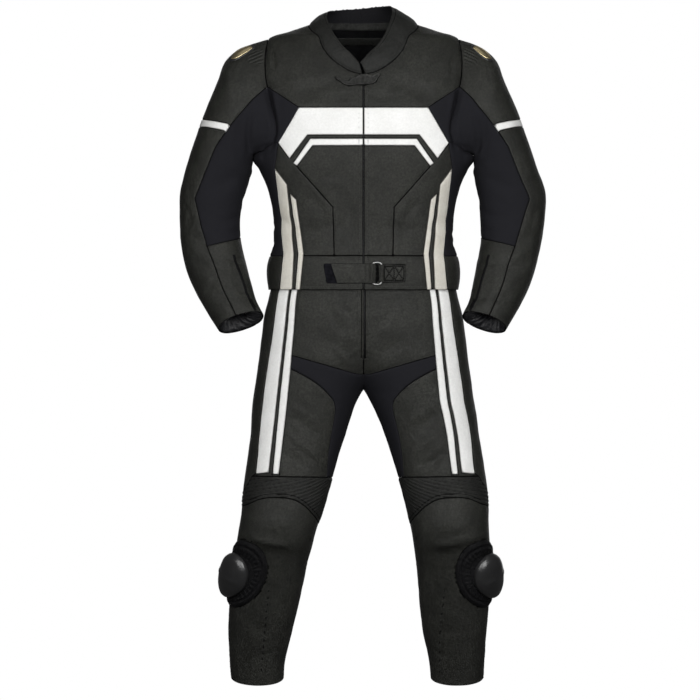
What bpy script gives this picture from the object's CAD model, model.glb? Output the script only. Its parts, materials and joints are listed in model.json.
# %% [markdown]
# # A two-piece motorcycle race suit, filled out with nobody in it
#
# A race suit is cut from cowhide, with knitted stretch panels where the body bends. Each panel is a flat
# piece, and the seams that join them give the garment its shape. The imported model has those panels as
# plain walls. Here every one is laid again at cloth scale, with folds, seams, thread, zips and grain.
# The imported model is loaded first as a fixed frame, and nothing in it moves.

# %% Load the frame
import json

import bpy
import numpy as np
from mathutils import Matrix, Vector
from mathutils.geometry import delaunay_2d_cdt
from mathutils.kdtree import KDTree

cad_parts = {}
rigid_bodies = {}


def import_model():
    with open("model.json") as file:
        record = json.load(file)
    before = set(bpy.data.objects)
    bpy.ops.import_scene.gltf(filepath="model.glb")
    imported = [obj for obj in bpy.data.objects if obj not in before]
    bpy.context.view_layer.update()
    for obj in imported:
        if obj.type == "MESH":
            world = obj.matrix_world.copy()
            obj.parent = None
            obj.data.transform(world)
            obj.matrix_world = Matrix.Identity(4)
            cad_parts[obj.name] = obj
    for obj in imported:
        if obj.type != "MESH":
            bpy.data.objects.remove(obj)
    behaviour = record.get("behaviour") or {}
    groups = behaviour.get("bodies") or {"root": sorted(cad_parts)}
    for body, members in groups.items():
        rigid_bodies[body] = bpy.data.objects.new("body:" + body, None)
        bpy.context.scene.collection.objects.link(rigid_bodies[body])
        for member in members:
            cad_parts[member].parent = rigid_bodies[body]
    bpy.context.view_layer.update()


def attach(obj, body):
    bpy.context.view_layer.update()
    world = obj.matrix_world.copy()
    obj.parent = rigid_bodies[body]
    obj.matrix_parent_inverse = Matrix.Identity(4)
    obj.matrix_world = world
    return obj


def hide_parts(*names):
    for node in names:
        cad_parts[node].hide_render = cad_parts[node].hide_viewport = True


for old in list(bpy.data.objects):
    bpy.data.objects.remove(old)
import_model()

# %% [markdown]
# ## The driving sizes
#
# Everything is in metres. Heights in the tables count from the trouser hem, and the frame's origin lies
# between the shoulders. The seams are drawn on the wearer's right side and mirrored. The cloth is 2.2 mm
# thick, as two skins: leather outside and lining inside.

# %% Driving sizes
SHOULDER_HEIGHT = 1.467
WALL = 0.0022
MESH = 0.006              # spacing of the points on the panels
SEAM_STEP = 0.0045         # spacing along the seams
SEAM_ROWS = (0.0015, 0.0038)     # rows of points beside a seam, at these gaps
RIB_MESH = 0.0023          # spacing where the cloth is ribbed
ZIP_LIP = 0.0013           # half the gap between the two lips over the zip
FLY_HALF = 0.004           # half the width of the strip under the fly's placket
JOIN_REACH = 0.0065        # a seam ends on another seam that is this close
CORNER_REACH = 0.0012      # and in a point that it has already, if one is this close
MIDDLE_REACH = 2e-4        # a place this close to the middle plane lies on it
WELD_REACH = 3e-5          # places this close are one point of the garment
NUDGE = 2e-4               # a small step on a flat, to measure with
EDGE_SINK = 0.00018        # how far a panel's cut edge draws back from its seam
SEAM_DEPTH = 0.0015
SEAM_ROLL = 0.0016         # half the width of a seam's groove
DART_DEPTH = 0.0013
RIGHT, LEFT = -1, 1
print("cloth of", WALL * 1000, "mm, points every", MESH * 1000, "mm")

# %% [markdown]
# ## The form under the cloth
#
# A worn suit has the shape of three rounded forms: half of the jacket body, a sleeve and half of the
# trousers. Tailors' dummies are described in the same way, by girths at a row of heights. Each row below
# is such a section, and a smooth curve runs through the rows. A point of a form is named by its turn
# (0 at the front, 0.25 at the outer side, 0.5 at the back) and its station, the length along the form.

# %% Sections of the body, the leg and the sleeve
def columns(names, text):
    """A table of ten-thousandths, one row a line, as one array for each named column."""
    rows = [[int(number) / 10000 for number in row.split()] for row in text.strip().splitlines()]
    return {name: np.array(values, float) for name, values in zip(names.split(), zip(*rows))}


TORSO = columns("height half_width front back squareness", """
9020 2185 1210 1300 24000
9350 2225 1230 1300 24000
9700 2190 1220 1270 24000
9820 2150 1195 1255 24000
10000 2085 1180 1230 24000
10350 2060 1170 1210 24000
10750 2080 1190 1210 24000
11100 2142 1220 1230 24000
11500 2265 1260 1260 24000
11900 2450 1290 1290 24000
12500 2475 1310 1330 24000
13100 2505 1280 1340 24000
13600 2520 1185 1310 24000
14000 2510 1080 1260 24000
14400 2440 950 1160 23000
14650 2320 830 1060 22000
14810 2160 740 970 22000
14960 1700 620 840 21000
15120 1230 480 670 20000
15250 850 300 450 20000
""")
LEG = columns("height outer inner lean y front back squareness", """
-200 2890 1702 140 980 555 565 21000
414 2935 1668 145 780 570 580 21000
1150 2975 1505 140 520 630 680 21000
2250 2978 1320 65 140 720 760 22000
2850 2930 1230 30 -100 760 770 22000
3170 2910 1160 10 -240 830 780 22000
3540 2870 1080 -10 -310 880 790 22000
3910 2841 975 -35 -310 870 820 22000
4460 2805 829 -45 -240 860 880 22000
5010 2726 668 -40 -140 880 950 22000
5750 2623 435 -35 -40 930 1030 22000
6120 2588 300 -20 -10 960 1070 22000
6486 2542 140 0 0 980 1110 22000
6720 2510 0 0 10 1000 1140 22000
7000 2470 -300 0 30 1040 1200 22000
7400 2410 -920 0 40 1100 1280 22000
7900 2350 -1750 0 30 1140 1310 23000
8420 2280 -2280 0 10 1150 1270 24000
8880 2165 -2165 0 0 1120 1200 24000
9500 2050 -2050 0 0 1080 1130 24000
""")
SLEEVE = columns("outer_x outer_height inner_x inner_height y depth pitch outer_lean inner_lean", """
2185 14790 2464 12130 0 830 0 0 0
2600 14660 2535 12145 0 830 0 40 0
2880 14540 2575 12120 0 830 0 100 0
3180 14270 2598 12065 0 830 0 110 0
3346 13840 2598 11985 0 820 0 110 10
3579 13290 2570 11865 10 810 0 100 20
3905 12380 2565 11690 30 800 0 100 40
4090 11800 2640 11480 50 770 0 90 70
4220 11250 2775 11050 70 740 0 30 120
4230 10750 2835 10680 70 720 30000 50 160
4200 10100 2815 10120 20 710 90000 110 120
4080 9500 2700 9620 -100 680 150000 130 90
3830 8930 2575 9170 -280 620 200000 100 60
3560 8480 2450 8720 -480 550 230000 80 30
3330 8120 2290 8420 -640 480 240000 60 20
""")
COLLAR_TOP = columns("share x y height", """
0 18 -1060 14225
1200 225 -1015 14450
2200 395 -920 14610
3600 610 -700 14930
4600 715 -450 15190
6000 735 -50 15420
8000 530 500 15480
10000 0 670 15480
""")
SLEEVE_SQUARENESS = 2.2
ARMHOLE = {"height": 1.346, "half": 0.133, "half_turn": 0.058, "widen": 0.3, "squareness": 2.6}
ARMHOLE_MARKS = 28
YOKE_END_HEIGHT = 1.3675
SLEEVE_CAP = 0.17
HIND_SEAM = 0.62
INSEAM_START, INSEAM_END = -0.25, 0.75
COLLAR_SHIFT = -0.009
COLLAR_BOW = 0.004
TORSO_GIRTH, SLEEVE_GIRTH, LEG_GIRTH = 1.2, 0.45, 0.58

for table, across, up in ((TORSO, "half_width", "height"), (LEG, "outer", "height"),
                          (SLEEVE, "outer_x", "outer_height")):
    steps = np.hypot(np.diff(table[across]), np.diff(table[up]))
    table["station"] = np.concatenate([[0], np.cumsum(steps)])
print("stations", [round(float(t["station"][-1]), 3) for t in (TORSO, SLEEVE, LEG)])

# %% [markdown]
# ## From turn and station to a place in the air
#
# A section is a superellipse: rounder than a box and squarer than an ellipse, as a chest is. The sleeve
# starts on the armhole's own outline and forgets it on the way down, so body and sleeve meet exactly.
# One could model the same body by sculpting, but with functions every seam can ask where it lies.

# %% Points of the three forms
def smooth(table, name, at, along="station"):
    """A column of a table, read anywhere along it on one smooth curve through the rows."""
    known, values = table[along], table[name]
    slope = np.gradient(values, known)
    row = np.clip(np.searchsorted(known, at) - 1, 0, len(known) - 2)
    gap = known[row + 1] - known[row]
    part = np.clip((np.asarray(at, float) - known[row]) / gap, 0, 1)
    rest = 1 - part
    ends = (1 + 2 * part) * rest ** 2 * values[row] + (3 - 2 * part) * part ** 2 * values[row + 1]
    return ends + gap * part * rest * (rest * slope[row] - part * slope[row + 1])


def station_at(table, height, column="height"):
    """The station at a height, on a table whose height rises or falls all along."""
    fine = np.linspace(0, table["station"][-1], 1500)
    heights = smooth(table, column, fine)
    if heights[0] > heights[-1]:
        fine, heights = fine[::-1], heights[::-1]
    return np.interp(height, heights, fine)


def ring(turn, half_width, front, back, squareness):
    """A rounded section: how far to the side and to the back it lies, at a turn from its front."""
    side, ahead = np.sin(2 * np.pi * turn), np.cos(2 * np.pi * turn)
    depth = np.where(ahead > 0, front, back)
    side, ahead = side * np.sqrt(half_width), ahead * np.sqrt(depth)
    size = (np.abs(side / half_width) ** squareness + np.abs(ahead / depth) ** squareness)
    size = size ** (-1 / squareness)
    return side * size, -ahead * size


def torso(turn, station, side):
    """Points of the jacket body."""
    shape = [smooth(TORSO, name, station) for name in ("half_width", "front", "back", "squareness")]
    across, back = ring(turn, *shape)
    return np.stack([side * across, back, smooth(TORSO, "height", station)], axis=-1)


def leg(turn, station, side):
    """Points of the trousers' half."""
    outer, inner, lean, y, front, back, squareness = (
        smooth(LEG, name, station) for name in "outer inner lean y front back squareness".split())
    across, behind = ring(turn, (outer - inner) / 2, front, back, squareness)
    across = across + (outer + inner) / 2 - side * lean
    return np.stack([side * across, y + behind, smooth(LEG, "height", station)], axis=-1)


def centre_seam_turn(station, at_back):
    """The turn at which a half of the trousers meets the other half."""
    outer, inner, front, back, squareness = (
        smooth(LEG, name, station) for name in "outer inner front back squareness".split())
    half, depth = (outer - inner) / 2, back if at_back else front
    share = np.clip((outer + inner) / 2 / half, -1, 1)
    reach = depth * (1 - np.abs(share) ** squareness) ** (1 / squareness)
    past = np.arctan2(share * np.sqrt(half), reach / np.sqrt(depth)) / (2 * np.pi)
    return 0.5 + past if at_back else -past


def armhole_ring(turn):
    """The armhole on the torso, as torso turn and station. Its turn is the sleeve's turn."""
    half = ARMHOLE["half"]
    up, back = ring(turn, half, ARMHOLE["half_turn"], ARMHOLE["half_turn"], ARMHOLE["squareness"])
    back = back * (1 + ARMHOLE["widen"] * (0.9 - up / half) ** 2)
    return 0.25 + back, station_at(TORSO, ARMHOLE["height"] + up)


# %% Where the yoke ends on the armhole, and the sleeve itself
front_turns = np.linspace(-0.25, 0.25, 400)
front_ups, _ = ring(front_turns, ARMHOLE["half"], ARMHOLE["half_turn"], ARMHOLE["half_turn"],
                    ARMHOLE["squareness"])
APEX_TURN = float(np.interp(YOKE_END_HEIGHT - ARMHOLE["height"], front_ups, front_turns))
even_marks = np.linspace(HIND_SEAM - 1, HIND_SEAM, ARMHOLE_MARKS + 1)
crowded_marks = np.abs(even_marks - APEX_TURN) < 0.4 / ARMHOLE_MARKS
MARKS = np.sort(np.append(even_marks[~crowded_marks], APEX_TURN))
MARK_TURNS, MARK_STATIONS = armhole_ring(MARKS)
APEX = tuple(torso(*armhole_ring(np.array([APEX_TURN])), 1)[0, [0, 2]])


def sleeve_section(turn, station, side):
    """A plain rounded sleeve, before its top is fitted to the armhole."""
    names = "outer_x outer_height inner_x inner_height y depth pitch".split()
    ox, oz, ix, iz, y, depth, pitch = (smooth(SLEEVE, name, station) for name in names)
    if side == LEFT:
        ox = ox - smooth(SLEEVE, "outer_lean", station)
        ix = ix - smooth(SLEEVE, "inner_lean", station)
    half = np.hypot(ox - ix, oz - iz) / 2
    across, behind = ring(turn, half, depth, depth, SLEEVE_SQUARENESS)
    outward = (1 + across / half) / 2
    tilt = np.radians(pitch)
    height = iz + (oz - iz) * outward - behind * np.sin(tilt)
    return np.stack([ix + (ox - ix) * outward, y + behind * np.cos(tilt), height], axis=-1)


def sleeve(turn, station, side):
    """Points of a sleeve, from the armhole down to the cuff."""
    turn, station = np.asarray(turn, float), np.asarray(station, float)
    points = sleeve_section(turn, station, side)
    around = (turn - HIND_SEAM) % 1 + HIND_SEAM - 1
    around = np.where(np.isclose(around, HIND_SEAM - 1) & (turn > 0), HIND_SEAM, around)
    seam = torso(np.interp(around, MARKS, MARK_TURNS), np.interp(around, MARKS, MARK_STATIONS), 1)
    fade = np.clip(1 - station / SLEEVE_CAP, 0, 1)
    fade = (fade * fade)[..., None]
    points = points + fade * (seam - sleeve_section(turn, np.zeros_like(station), side))
    points[..., 0] *= side
    return points


print("the yoke, the sleeve and the stretch panel meet at", [round(float(v), 4) for v in APEX])

# %% [markdown]
# ## The cutting plan
#
# A pattern cutter draws every panel flat. Here the seams are drawn on each form's own flat, with metres
# across and along. A seam can be given as it shows from the front (x and height, in straight runs or on
# a smooth "bend"), or as a "wrap" of turns and heights for what goes round the side and back.

# %% Seams and panels of the jacket body
HEM_BAND_TOP = 0.98
NECK_FRONT = [(0.0, 1.396), (0.03, 1.4035), (0.0575, 1.42), (0.0885, 1.451), (0.105, 1.4865)]
NECK_BACK = [(0.25, 1.512), (0.32, 1.509), (0.4, 1.505), (0.5, 1.503)]
SIDE_SEAM_TURN = 0.295
TORSO_SEAMS = [
    ("zip", "front", [(ZIP_LIP, 0.902), (ZIP_LIP, 1.402)]),
    ("yoke", "front", [APEX, (0.1488, 1.3197), (ZIP_LIP, 1.3197)]),
    ("band", "front", [(0.1488, 1.3197), (0.1962, 1.2386), (0.1704, 1.2024), (0.1288, 1.2567),
                       (ZIP_LIP, 1.2567)]),
    ("line", "front", [(ZIP_LIP, 1.2482), (0.1225, 1.2482), (0.1622, 1.1914), (0.153, 1.1855),
                       (0.1173, 1.2321), (ZIP_LIP, 1.2321)]),
    ("stretch_foot", "front", [(0.1962, 1.2386), (0.212, 1.2386)]),
    ("stretch_front", "front", [(0.1962, 1.2386), (0.2047, 1.18)]),
    ("princess", "front", [(0.1565, 1.1878), (0.0704, 1.0909), (0.0674, HEM_BAND_TOP)]),
    ("wide", "front", [(0.164, 0.902), (0.1608, 0.985), (0.1762, 1.1431), (0.2047, 1.18),
                       (0.1934, 1.0833), (0.185, 0.985), (0.193, 0.902)]),
    ("thin", "front", [(0.146, 0.902), (0.1378, 0.985), (0.155, 1.1086), (0.169, 1.1224),
                       (0.1507, 0.985), (0.157, 0.902)]),
    ("hem_band_front", "front", [(ZIP_LIP, HEM_BAND_TOP), (0.1385, HEM_BAND_TOP)]),
    ("hem_band_back", "wrap", [(0.1722, HEM_BAND_TOP), (0.25, HEM_BAND_TOP), (0.4, HEM_BAND_TOP),
                               (0.5, HEM_BAND_TOP)]),
    ("side", "wrap", [(SIDE_SEAM_TURN, HEM_BAND_TOP), (SIDE_SEAM_TURN, 1.1),
                      (SIDE_SEAM_TURN + 0.005, 1.215)]),
    ("shoulder", "wrap", [(0.252, 1.4785), (0.253, 1.495), (0.254, 1.5115)]),
]
TORSO_PANELS = [
    ("front_yoke", "front", (0.12, 1.36)), ("chest_band", "front", (0.1, 1.29)),
    ("chest_line", "front", (0.08, 1.24)), ("chest_stretch", "front", (0.195, 1.3)),
    ("front_centre", "front", (0.04, 1.1)), ("front_side", "front", (0.12, 1.06)),
    ("stripe_wide", "front", (0.18, 1.08)), ("stripe_thin", "front", (0.15, 1.05)),
    ("waist_front", "front", (0.06, 0.94)), ("side_stretch", "wrap", (0.235, 1.1)),
    ("waist_back", "wrap", (0.4, 0.94)), ("back", "wrap", (0.42, 1.2)),
]
print(len(TORSO_SEAMS), "seams and", len(TORSO_PANELS), "panels on the body")

# %% Seams and panels of the sleeve
SLEEVE_SEAMS = [
    ("stretch", "front", [APEX, (0.2542, 1.3386), (0.307, 1.2765), (0.3393, 1.2305),
                          (0.3508, 1.2029), (0.3876, 1.1109), (0.3738, 1.0534), (0.36, 1.0028),
                          (0.2895, 1.0189)]),
    ("stretch_foot", "wrap", [(-0.169, 0.547), (-0.25, 0.536), (HIND_SEAM - 1, 0.53)]),
    ("band_top", "wrap", [(0.0205, 0.1951), (0.0825, 0.2271), (0.1434, 0.2476), (0.25, 0.2575),
                          (0.3566, 0.2476), (0.4175, 0.2271), (0.4795, 0.1951), (0.55, 0.166),
                          (HIND_SEAM, 0.15)]),
    ("band_foot", "wrap", [(0.0266, 0.226), (0.0881, 0.2518), (0.1507, 0.2672), (0.25, 0.2765),
                           (0.3493, 0.2672), (0.4119, 0.2518), (0.4734, 0.226), (0.55, 0.19),
                           (HIND_SEAM, 0.171)]),
    ("forearm", "bend", [(0.36, 1.0028), (0.345, 0.965), (0.321, 0.9), (0.296, 0.85),
                         (0.285, 0.826)]),
]
SLEEVE_PANELS = [
    ("sleeve_shoulder", "front", (0.3, 1.36)), ("sleeve_band", "front", (0.335, 1.281)),
    ("sleeve_outer", "front", (0.4, 1.05)), ("sleeve_stretch", "front", (0.3, 1.15)),
    ("forearm_inner", "front", (0.29, 0.93)),
]
print(len(SLEEVE_SEAMS), "seams and", len(SLEEVE_PANELS), "panels on a sleeve")

# %% Seams and panels of the trousers
HEM_MIDDLE, HEM_SLOPE = 0.009, 0.34
BACK_SEAM_TURN, OUTER_SEAM_TURN = 0.69, 0.27
KNEE_TOP = 0.4713
KNEE_ARC = [(0.262, 0.403), (0.152, 0.411), (0.085, 0.4235), (0.022, 0.4255), (-0.045, 0.4191),
            (-0.085, 0.4071), (-0.135, 0.388), (-0.19, 0.372), (-0.25, 0.362)]
LEG_SEAMS = [
    ("fly", "front", [(FLY_HALF, 0.95), (FLY_HALF, 0.744), (0.0, 0.744)]),
    ("hip_foot", "front", [(0.164, 0.7505), (0.0173, 0.7077), (0.0, 0.706)]),
    ("thigh_inner", "bend", [(0.169, 0.722), (0.1369, 0.7054), (0.1074, 0.6872), (0.0805, 0.6627),
                             (0.0669, 0.6444), (0.064, 0.6266), (0.0669, 0.604), (0.0736, 0.5635),
                             (0.08, 0.52), (0.083, 0.4713)]),
    ("wide_outer", "bend", [(0.183, 0.95), (0.196, 0.897), (0.2088, 0.8073), (0.2305, 0.6578),
                            (0.2473, 0.4795)]),
    ("wide_inner", "bend", [(0.159, 0.95), (0.1718, 0.897), (0.1819, 0.8073), (0.1987, 0.6578),
                            (0.218, 0.483)]),
    ("wide_foot", "front", [(0.2473, 0.4795), (0.218, 0.483)]),
    ("thin_outer", "bend", [(0.1545, 0.95), (0.1668, 0.897), (0.1762, 0.8073), (0.1921, 0.6578),
                            (0.2088, 0.479)]),
    ("thin_inner", "bend", [(0.1405, 0.95), (0.1525, 0.897), (0.1605, 0.8073), (0.1739, 0.6578),
                            (0.1944, 0.479)]),
    ("thin_foot", "front", [(0.2088, 0.479), (0.1944, 0.479)]),
    ("outer_side", "bend", [(0.2473, 0.4795), (0.256, 0.474), (0.264, 0.46)]),
    ("outer_back", "wrap", [(0.168, 0.46), (0.235, 0.43), (OUTER_SEAM_TURN, 0.38),
                            (OUTER_SEAM_TURN, 0.2), (OUTER_SEAM_TURN, -0.01)]),
    ("knee_top", "front", [(0.256, 0.474), (0.2, 0.4735), (0.083, KNEE_TOP)]),
    ("knee_top_inner", "wrap", [(-0.172, KNEE_TOP), (-0.25, 0.47)]),
    ("knee_top_rear", "wrap", [(0.75, 0.47), (0.72, 0.47), (BACK_SEAM_TURN, 0.47)]),
    ("knee_arc", "wrap", KNEE_ARC),
    ("knee_arc_rear", "wrap", [(0.75, 0.362), (0.72, 0.358), (BACK_SEAM_TURN, 0.356)]),
    ("back_seam", "wrap", [(0.612, 0.715), (0.655, 0.672), (0.682, 0.62), (BACK_SEAM_TURN, 0.56),
                           (BACK_SEAM_TURN, 0.4), (BACK_SEAM_TURN, 0.2), (BACK_SEAM_TURN, 0.0)]),
]
LEG_PANELS = [
    ("hip_front", "front", (0.08, 0.82)), ("fly_zip", "front", (0.0015, 0.85)),
    ("crotch_stretch", "front", (0.04, 0.69)), ("crotch_stretch", "wrap", (0.73, 0.58)),
    ("thigh_front", "front", (0.13, 0.58)), ("leg_stripe_wide", "front", (0.215, 0.65)),
    ("leg_stripe_thin", "front", (0.182, 0.65)), ("knee_band", "front", (0.17, 0.45)),
    ("knee_band", "wrap", (0.73, 0.42)), ("knee_shin", "front", (0.2, 0.37)),
    ("knee_shin", "wrap", (0.73, 0.2)), ("leg_back", "wrap", (0.5, 0.5)),
]
print(len(LEG_SEAMS), "seams and", len(LEG_PANELS), "panels on a leg")

# %% [markdown]
# ## Creases, darts and padding
#
# Worn leather keeps a few deep creases where it bends, and they are never alike. Cloth simulation gives
# even, elastic folds, which is wrong for stiff cowhide, so the creases are placed by hand: each is a run
# of points, a reach to each side and a depth. A negative depth is a trough with soft lips beside it.
# Those of the back and the inner sides are of the same kind as the ones in front.

# %% Creases of the jacket body
def creases(text):
    """Creases, one a line: Right, Left or Both, front or wrap, points, reach and depth in 0.1 mm."""
    rows = []
    for row in text.strip().splitlines():
        side, way, *numbers = row.split()
        *points, reach, depth = (int(number) / 10000 for number in numbers)
        rows.append(({"R": RIGHT, "L": LEFT, "B": 0}[side], {"f": "front", "w": "wrap"}[way],
                     list(zip(points[::2], points[1::2])), reach, depth))
    return rows


TORSO_CREASES = creases("""
B f 450 10520 850 10400 1400 10260 220 -32
B f 2000 10700 1500 10400 180 -30
B f 600 13800 1600 13500 220 -30
B f 2211 13675 2070 13050 2050 12600 2120 12250 85 -95
B f 2050 13600 2040 13100 2080 12600 90 30
B w 1950 12050 2500 12030 3050 12060 170 85
R f 2120 14520 2060 14330 2050 14080 60 -30
L f 2080 14420 2020 14180 2040 13950 70 -22
R f 1450 14450 1200 14150 1080 13900 120 -18
L f 1500 14350 1280 14080 1150 13750 130 -20
R f 300 10900 240 10500 280 10000 100 -32
L f 250 10750 300 10350 220 9900 110 -34
L f 620 10200 480 10020 400 9860 90 -18
R f 600 10150 450 10000 80 -14
R f 1250 11150 980 10850 900 10400 130 -20
L f 1300 11050 1000 10700 950 10250 120 -24
B f 400 11750 900 11600 160 -12
R f 200 13550 600 13420 1100 13400 120 -14
L f 150 13480 500 13420 900 13480 110 -12
R f 700 9600 1050 9350 100 -12
L f 1000 9650 1280 9380 100 -13
B w 2350 12050 2450 11650 2400 11250 100 -22
R w 2050 10550 2450 10450 2900 10520 80 -18
L w 2100 10380 2500 10300 2850 10330 80 -20
B w 2150 10120 2550 10060 2900 10100 70 -16
B w 3180 12900 3500 12500 3950 12300 170 -32
R w 3250 13600 3500 13150 3700 12900 140 -26
L w 3220 13450 3450 13100 3800 12850 150 -26
R w 3100 10700 3700 10450 4500 10500 130 -30
L w 3120 10550 3800 10280 4700 10330 140 -30
B w 3300 10120 4000 10000 4950 10080 100 -22
R w 3900 11700 4300 11450 4900 11400 180 -22
L w 3600 11450 4100 11200 4500 11180 160 -24
R w 4000 14600 4200 14300 4250 13900 160 -18
L w 3900 14650 4050 14350 4000 14000 150 -18
R w 3000 9650 3300 9400 3700 9250 100 -14
L w 4200 9620 4400 9350 100 -12
""")
print(len(TORSO_CREASES), "creases on the body")

# %% Creases of the sleeves
SLEEVE_CREASES = creases("""
B f 4000 10300 3500 10000 180 -40
B f 3950 9700 3300 9450 180 -35
B f 3450 8900 3000 8750 140 -30
B f 2900 11600 3500 11300 180 -30
B f 2211 13675 2070 13050 2050 12600 2120 12250 85 -95
B w -3500 1380 -2500 1330 -1550 1380 170 85
R f 2580 13050 2640 12650 2620 12250 80 -45
L f 2600 13000 2670 12600 2640 12200 90 -42
R f 2760 13050 2900 12500 2850 11950 120 -28
L f 2740 13000 2850 12600 2820 12100 120 -24
R f 3020 12300 3120 11850 3080 11450 120 -16
L f 3050 12100 3080 11700 120 -18
R f 2850 10750 3200 10600 3520 10680 100 -22
L f 2850 10850 3150 10700 3480 10740 110 -22
R f 2850 10420 3150 10310 3400 10350 80 -18
L f 2840 10480 3100 10360 80 -18
R f 4150 11050 4000 10750 4050 10400 90 -20
L f 4100 10950 3980 10650 4000 10350 90 -18
R f 3950 11600 4000 11250 3960 10950 100 -14
R f 2750 9820 3000 9700 3220 9740 90 -20
L f 2720 9750 2980 9600 3180 9640 90 -22
R f 2980 9650 2900 9250 2780 8880 100 -18
L f 3000 9500 2900 9100 2760 8800 100 -20
R f 2560 9050 2720 8950 2860 8980 70 -16
L f 2600 8860 2760 8800 2920 8850 70 -18
R f 3350 9350 3500 9150 3560 8950 90 -16
B w 3000 4300 4000 4380 5000 4250 120 -34
R w 3300 4700 4400 4800 5700 4620 110 -30
L w 3500 4620 4500 4700 5500 4580 120 -30
R w 2800 3900 3600 3980 4300 3900 100 -22
L w 4000 4000 4800 3960 5600 3850 100 -24
B w 3400 5250 4200 5350 5000 5280 110 -22
R w 3000 6000 3800 6120 4500 6000 100 -18
L w 3800 5900 4600 5980 5500 5860 100 -18
B w 4000 800 4500 1300 4700 1800 130 -26
R w 5100 600 5400 1100 5600 1500 120 -28
L w 5000 550 5300 1000 5400 1450 120 -28
B w -3000 3300 -2500 3500 -1900 3450 130 -10
B w -3400 4200 -2700 4320 -2000 4250 120 -14
""")
print(len(SLEEVE_CREASES), "creases on the sleeves")

# %% Creases of the trousers
LEG_CREASES = creases("""
B f 2620 3330 1630 3137 120 45
B f 2550 3080 1700 2930 200 -26
B f 1660 6150 1050 5600 200 -35
B f 1500 5700 950 5150 180 35
B f 1850 5300 1300 4950 180 -30
B f 1000 7900 300 7500 220 -18
R f 1730 5865 1300 5520 925 5120 90 -28
R f 1500 5405 1250 5180 1040 4890 70 -24
R f 1600 6520 1350 6300 1120 5980 100 -16
R f 1680 5050 1450 4950 1200 4900 50 -16
L f 1145 5000 1450 5080 1780 5290 80 -34
L f 1260 4790 1450 4880 1605 5120 60 -26
L f 1000 5850 1350 6000 1650 6250 110 -20
L f 1050 5450 1300 5600 1500 5820 90 -16
R f 750 7760 500 7500 235 7245 80 26
R f 950 8700 650 8300 450 8000 110 -18
L f 300 7350 500 7600 800 7800 100 -11
L f 750 8800 600 8450 350 8150 120 -16
R f 500 8650 300 8450 180 8350 70 -16
R f 2150 3720 2120 3560 2080 3430 40 -18
R f 1960 3650 1900 3500 1840 3390 40 -16
R f 2350 3560 2200 3480 2000 3470 40 -14
L f 2070 3720 2060 3540 2090 3440 40 -20
L f 1900 3620 1960 3490 40 -14
L f 2330 3420 2150 3370 1900 3390 50 -16
R f 2560 3440 2250 3310 1850 3260 50 -22
L f 2500 3280 2200 3240 1800 3290 50 -22
L f 2380 2990 2100 2930 1850 2960 60 -18
L f 2350 2840 2120 2790 1920 2800 50 -16
R f 1900 2600 1760 2150 1780 1700 120 -14
L f 1700 2550 1620 2100 1680 1600 120 -14
R f 2650 1500 2450 1250 2150 1150 140 -18
L f 2500 1350 2250 1180 2000 1150 140 -16
R f 2000 750 2250 600 2550 620 120 -16
L f 1850 800 2100 620 2350 600 120 -16
B w 4500 4300 5200 4180 6200 4260 100 -42
R w 4000 3950 5000 3880 6300 3960 90 -38
L w 3800 4020 4800 3900 6000 3980 100 -38
R w 4600 3680 5500 3600 6600 3700 80 -30
L w 4200 3700 5200 3580 6000 3650 90 -30
B w 3600 4650 4500 4520 5500 4600 110 -26
R w 4400 7250 5200 7050 6000 7150 160 -36
L w 4200 7180 5000 6980 5800 7040 160 -36
R w 3500 6900 4300 6700 5000 6740 140 -26
L w 3600 6720 4400 6520 5200 6560 140 -26
B w 3200 6200 3800 5900 4600 5700 160 -24
R w 4000 5300 5000 5150 6000 5250 140 -20
B w 3800 2700 5000 2560 6200 2660 140 -22
R w 4200 1700 5200 1580 6000 1640 130 -20
L w 3600 1450 4600 1340 5600 1400 130 -20
B w 3500 8350 4200 8100 5000 7950 180 -18
B w -2000 6200 -2300 5900 -2400 5500 110 -24
B w 7350 6000 7150 5700 7050 5300 110 -22
""")
print(len(LEG_CREASES), "creases on the trousers")

# %% [markdown]
# ## Flats, lines and runs
#
# A form knows its own flat, on which places are metres across and along. It can lay a flat spot on either
# side of the garment, and it can find the spot that shows at an x and a height from the front.

# %% A form and its flat
def unit(ways, least=1e-9):
    """The ways, each brought to length 1."""
    return ways / np.maximum(np.linalg.norm(ways, axis=-1), least)[..., None]


class Form:
    """A form with its flat, where spots are metres across and along."""

    def __init__(self, name, surface, table, girth, turns, front, sign):
        self.name, self.surface, self.table, self.girth = name, surface, table, girth
        self.turns, self.front, self.sign = turns, front, sign
        self.length = float(table["station"][-1])

    def places(self, spots, side):
        return self.surface(spots[:, 0] / self.girth, spots[:, 1], side)

    def rates(self, spots, side):
        """How fast a place moves when its spot goes across, and when it goes along."""
        held = np.stack([spots[:, 0], np.clip(spots[:, 1], NUDGE, self.length - NUDGE)], axis=-1)
        moves = np.array([[NUDGE, 0], [0, NUDGE]])
        return [(self.places(held + move, side) - self.places(held - move, side)) / (2 * NUDGE)
                for move in moves]

    def normals(self, spots, side):
        across, along = self.rates(spots, side)
        return unit(np.cross(across, along) * side * self.sign)

    def beside(self, spots, gap, side=RIGHT):
        """The spots that lie a gap beside each spot of a run, measured in the air."""
        ahead = np.gradient(spots, axis=0)
        across, along = self.rates(spots, side)
        e, f, g = (across ** 2).sum(1), (across * along).sum(1), (along ** 2).sum(1)
        low = np.stack([e * ahead[:, 0] + f * ahead[:, 1], f * ahead[:, 0] + g * ahead[:, 1]], axis=-1)
        turned = np.stack([-low[:, 1], low[:, 0]], axis=-1)
        size = np.sqrt(e * turned[:, 0] ** 2 + 2 * f * turned[:, 0] * turned[:, 1] + g * turned[:, 1] ** 2)
        return spots + turned * (gap / np.maximum(size, 1e-9))[:, None]


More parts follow.
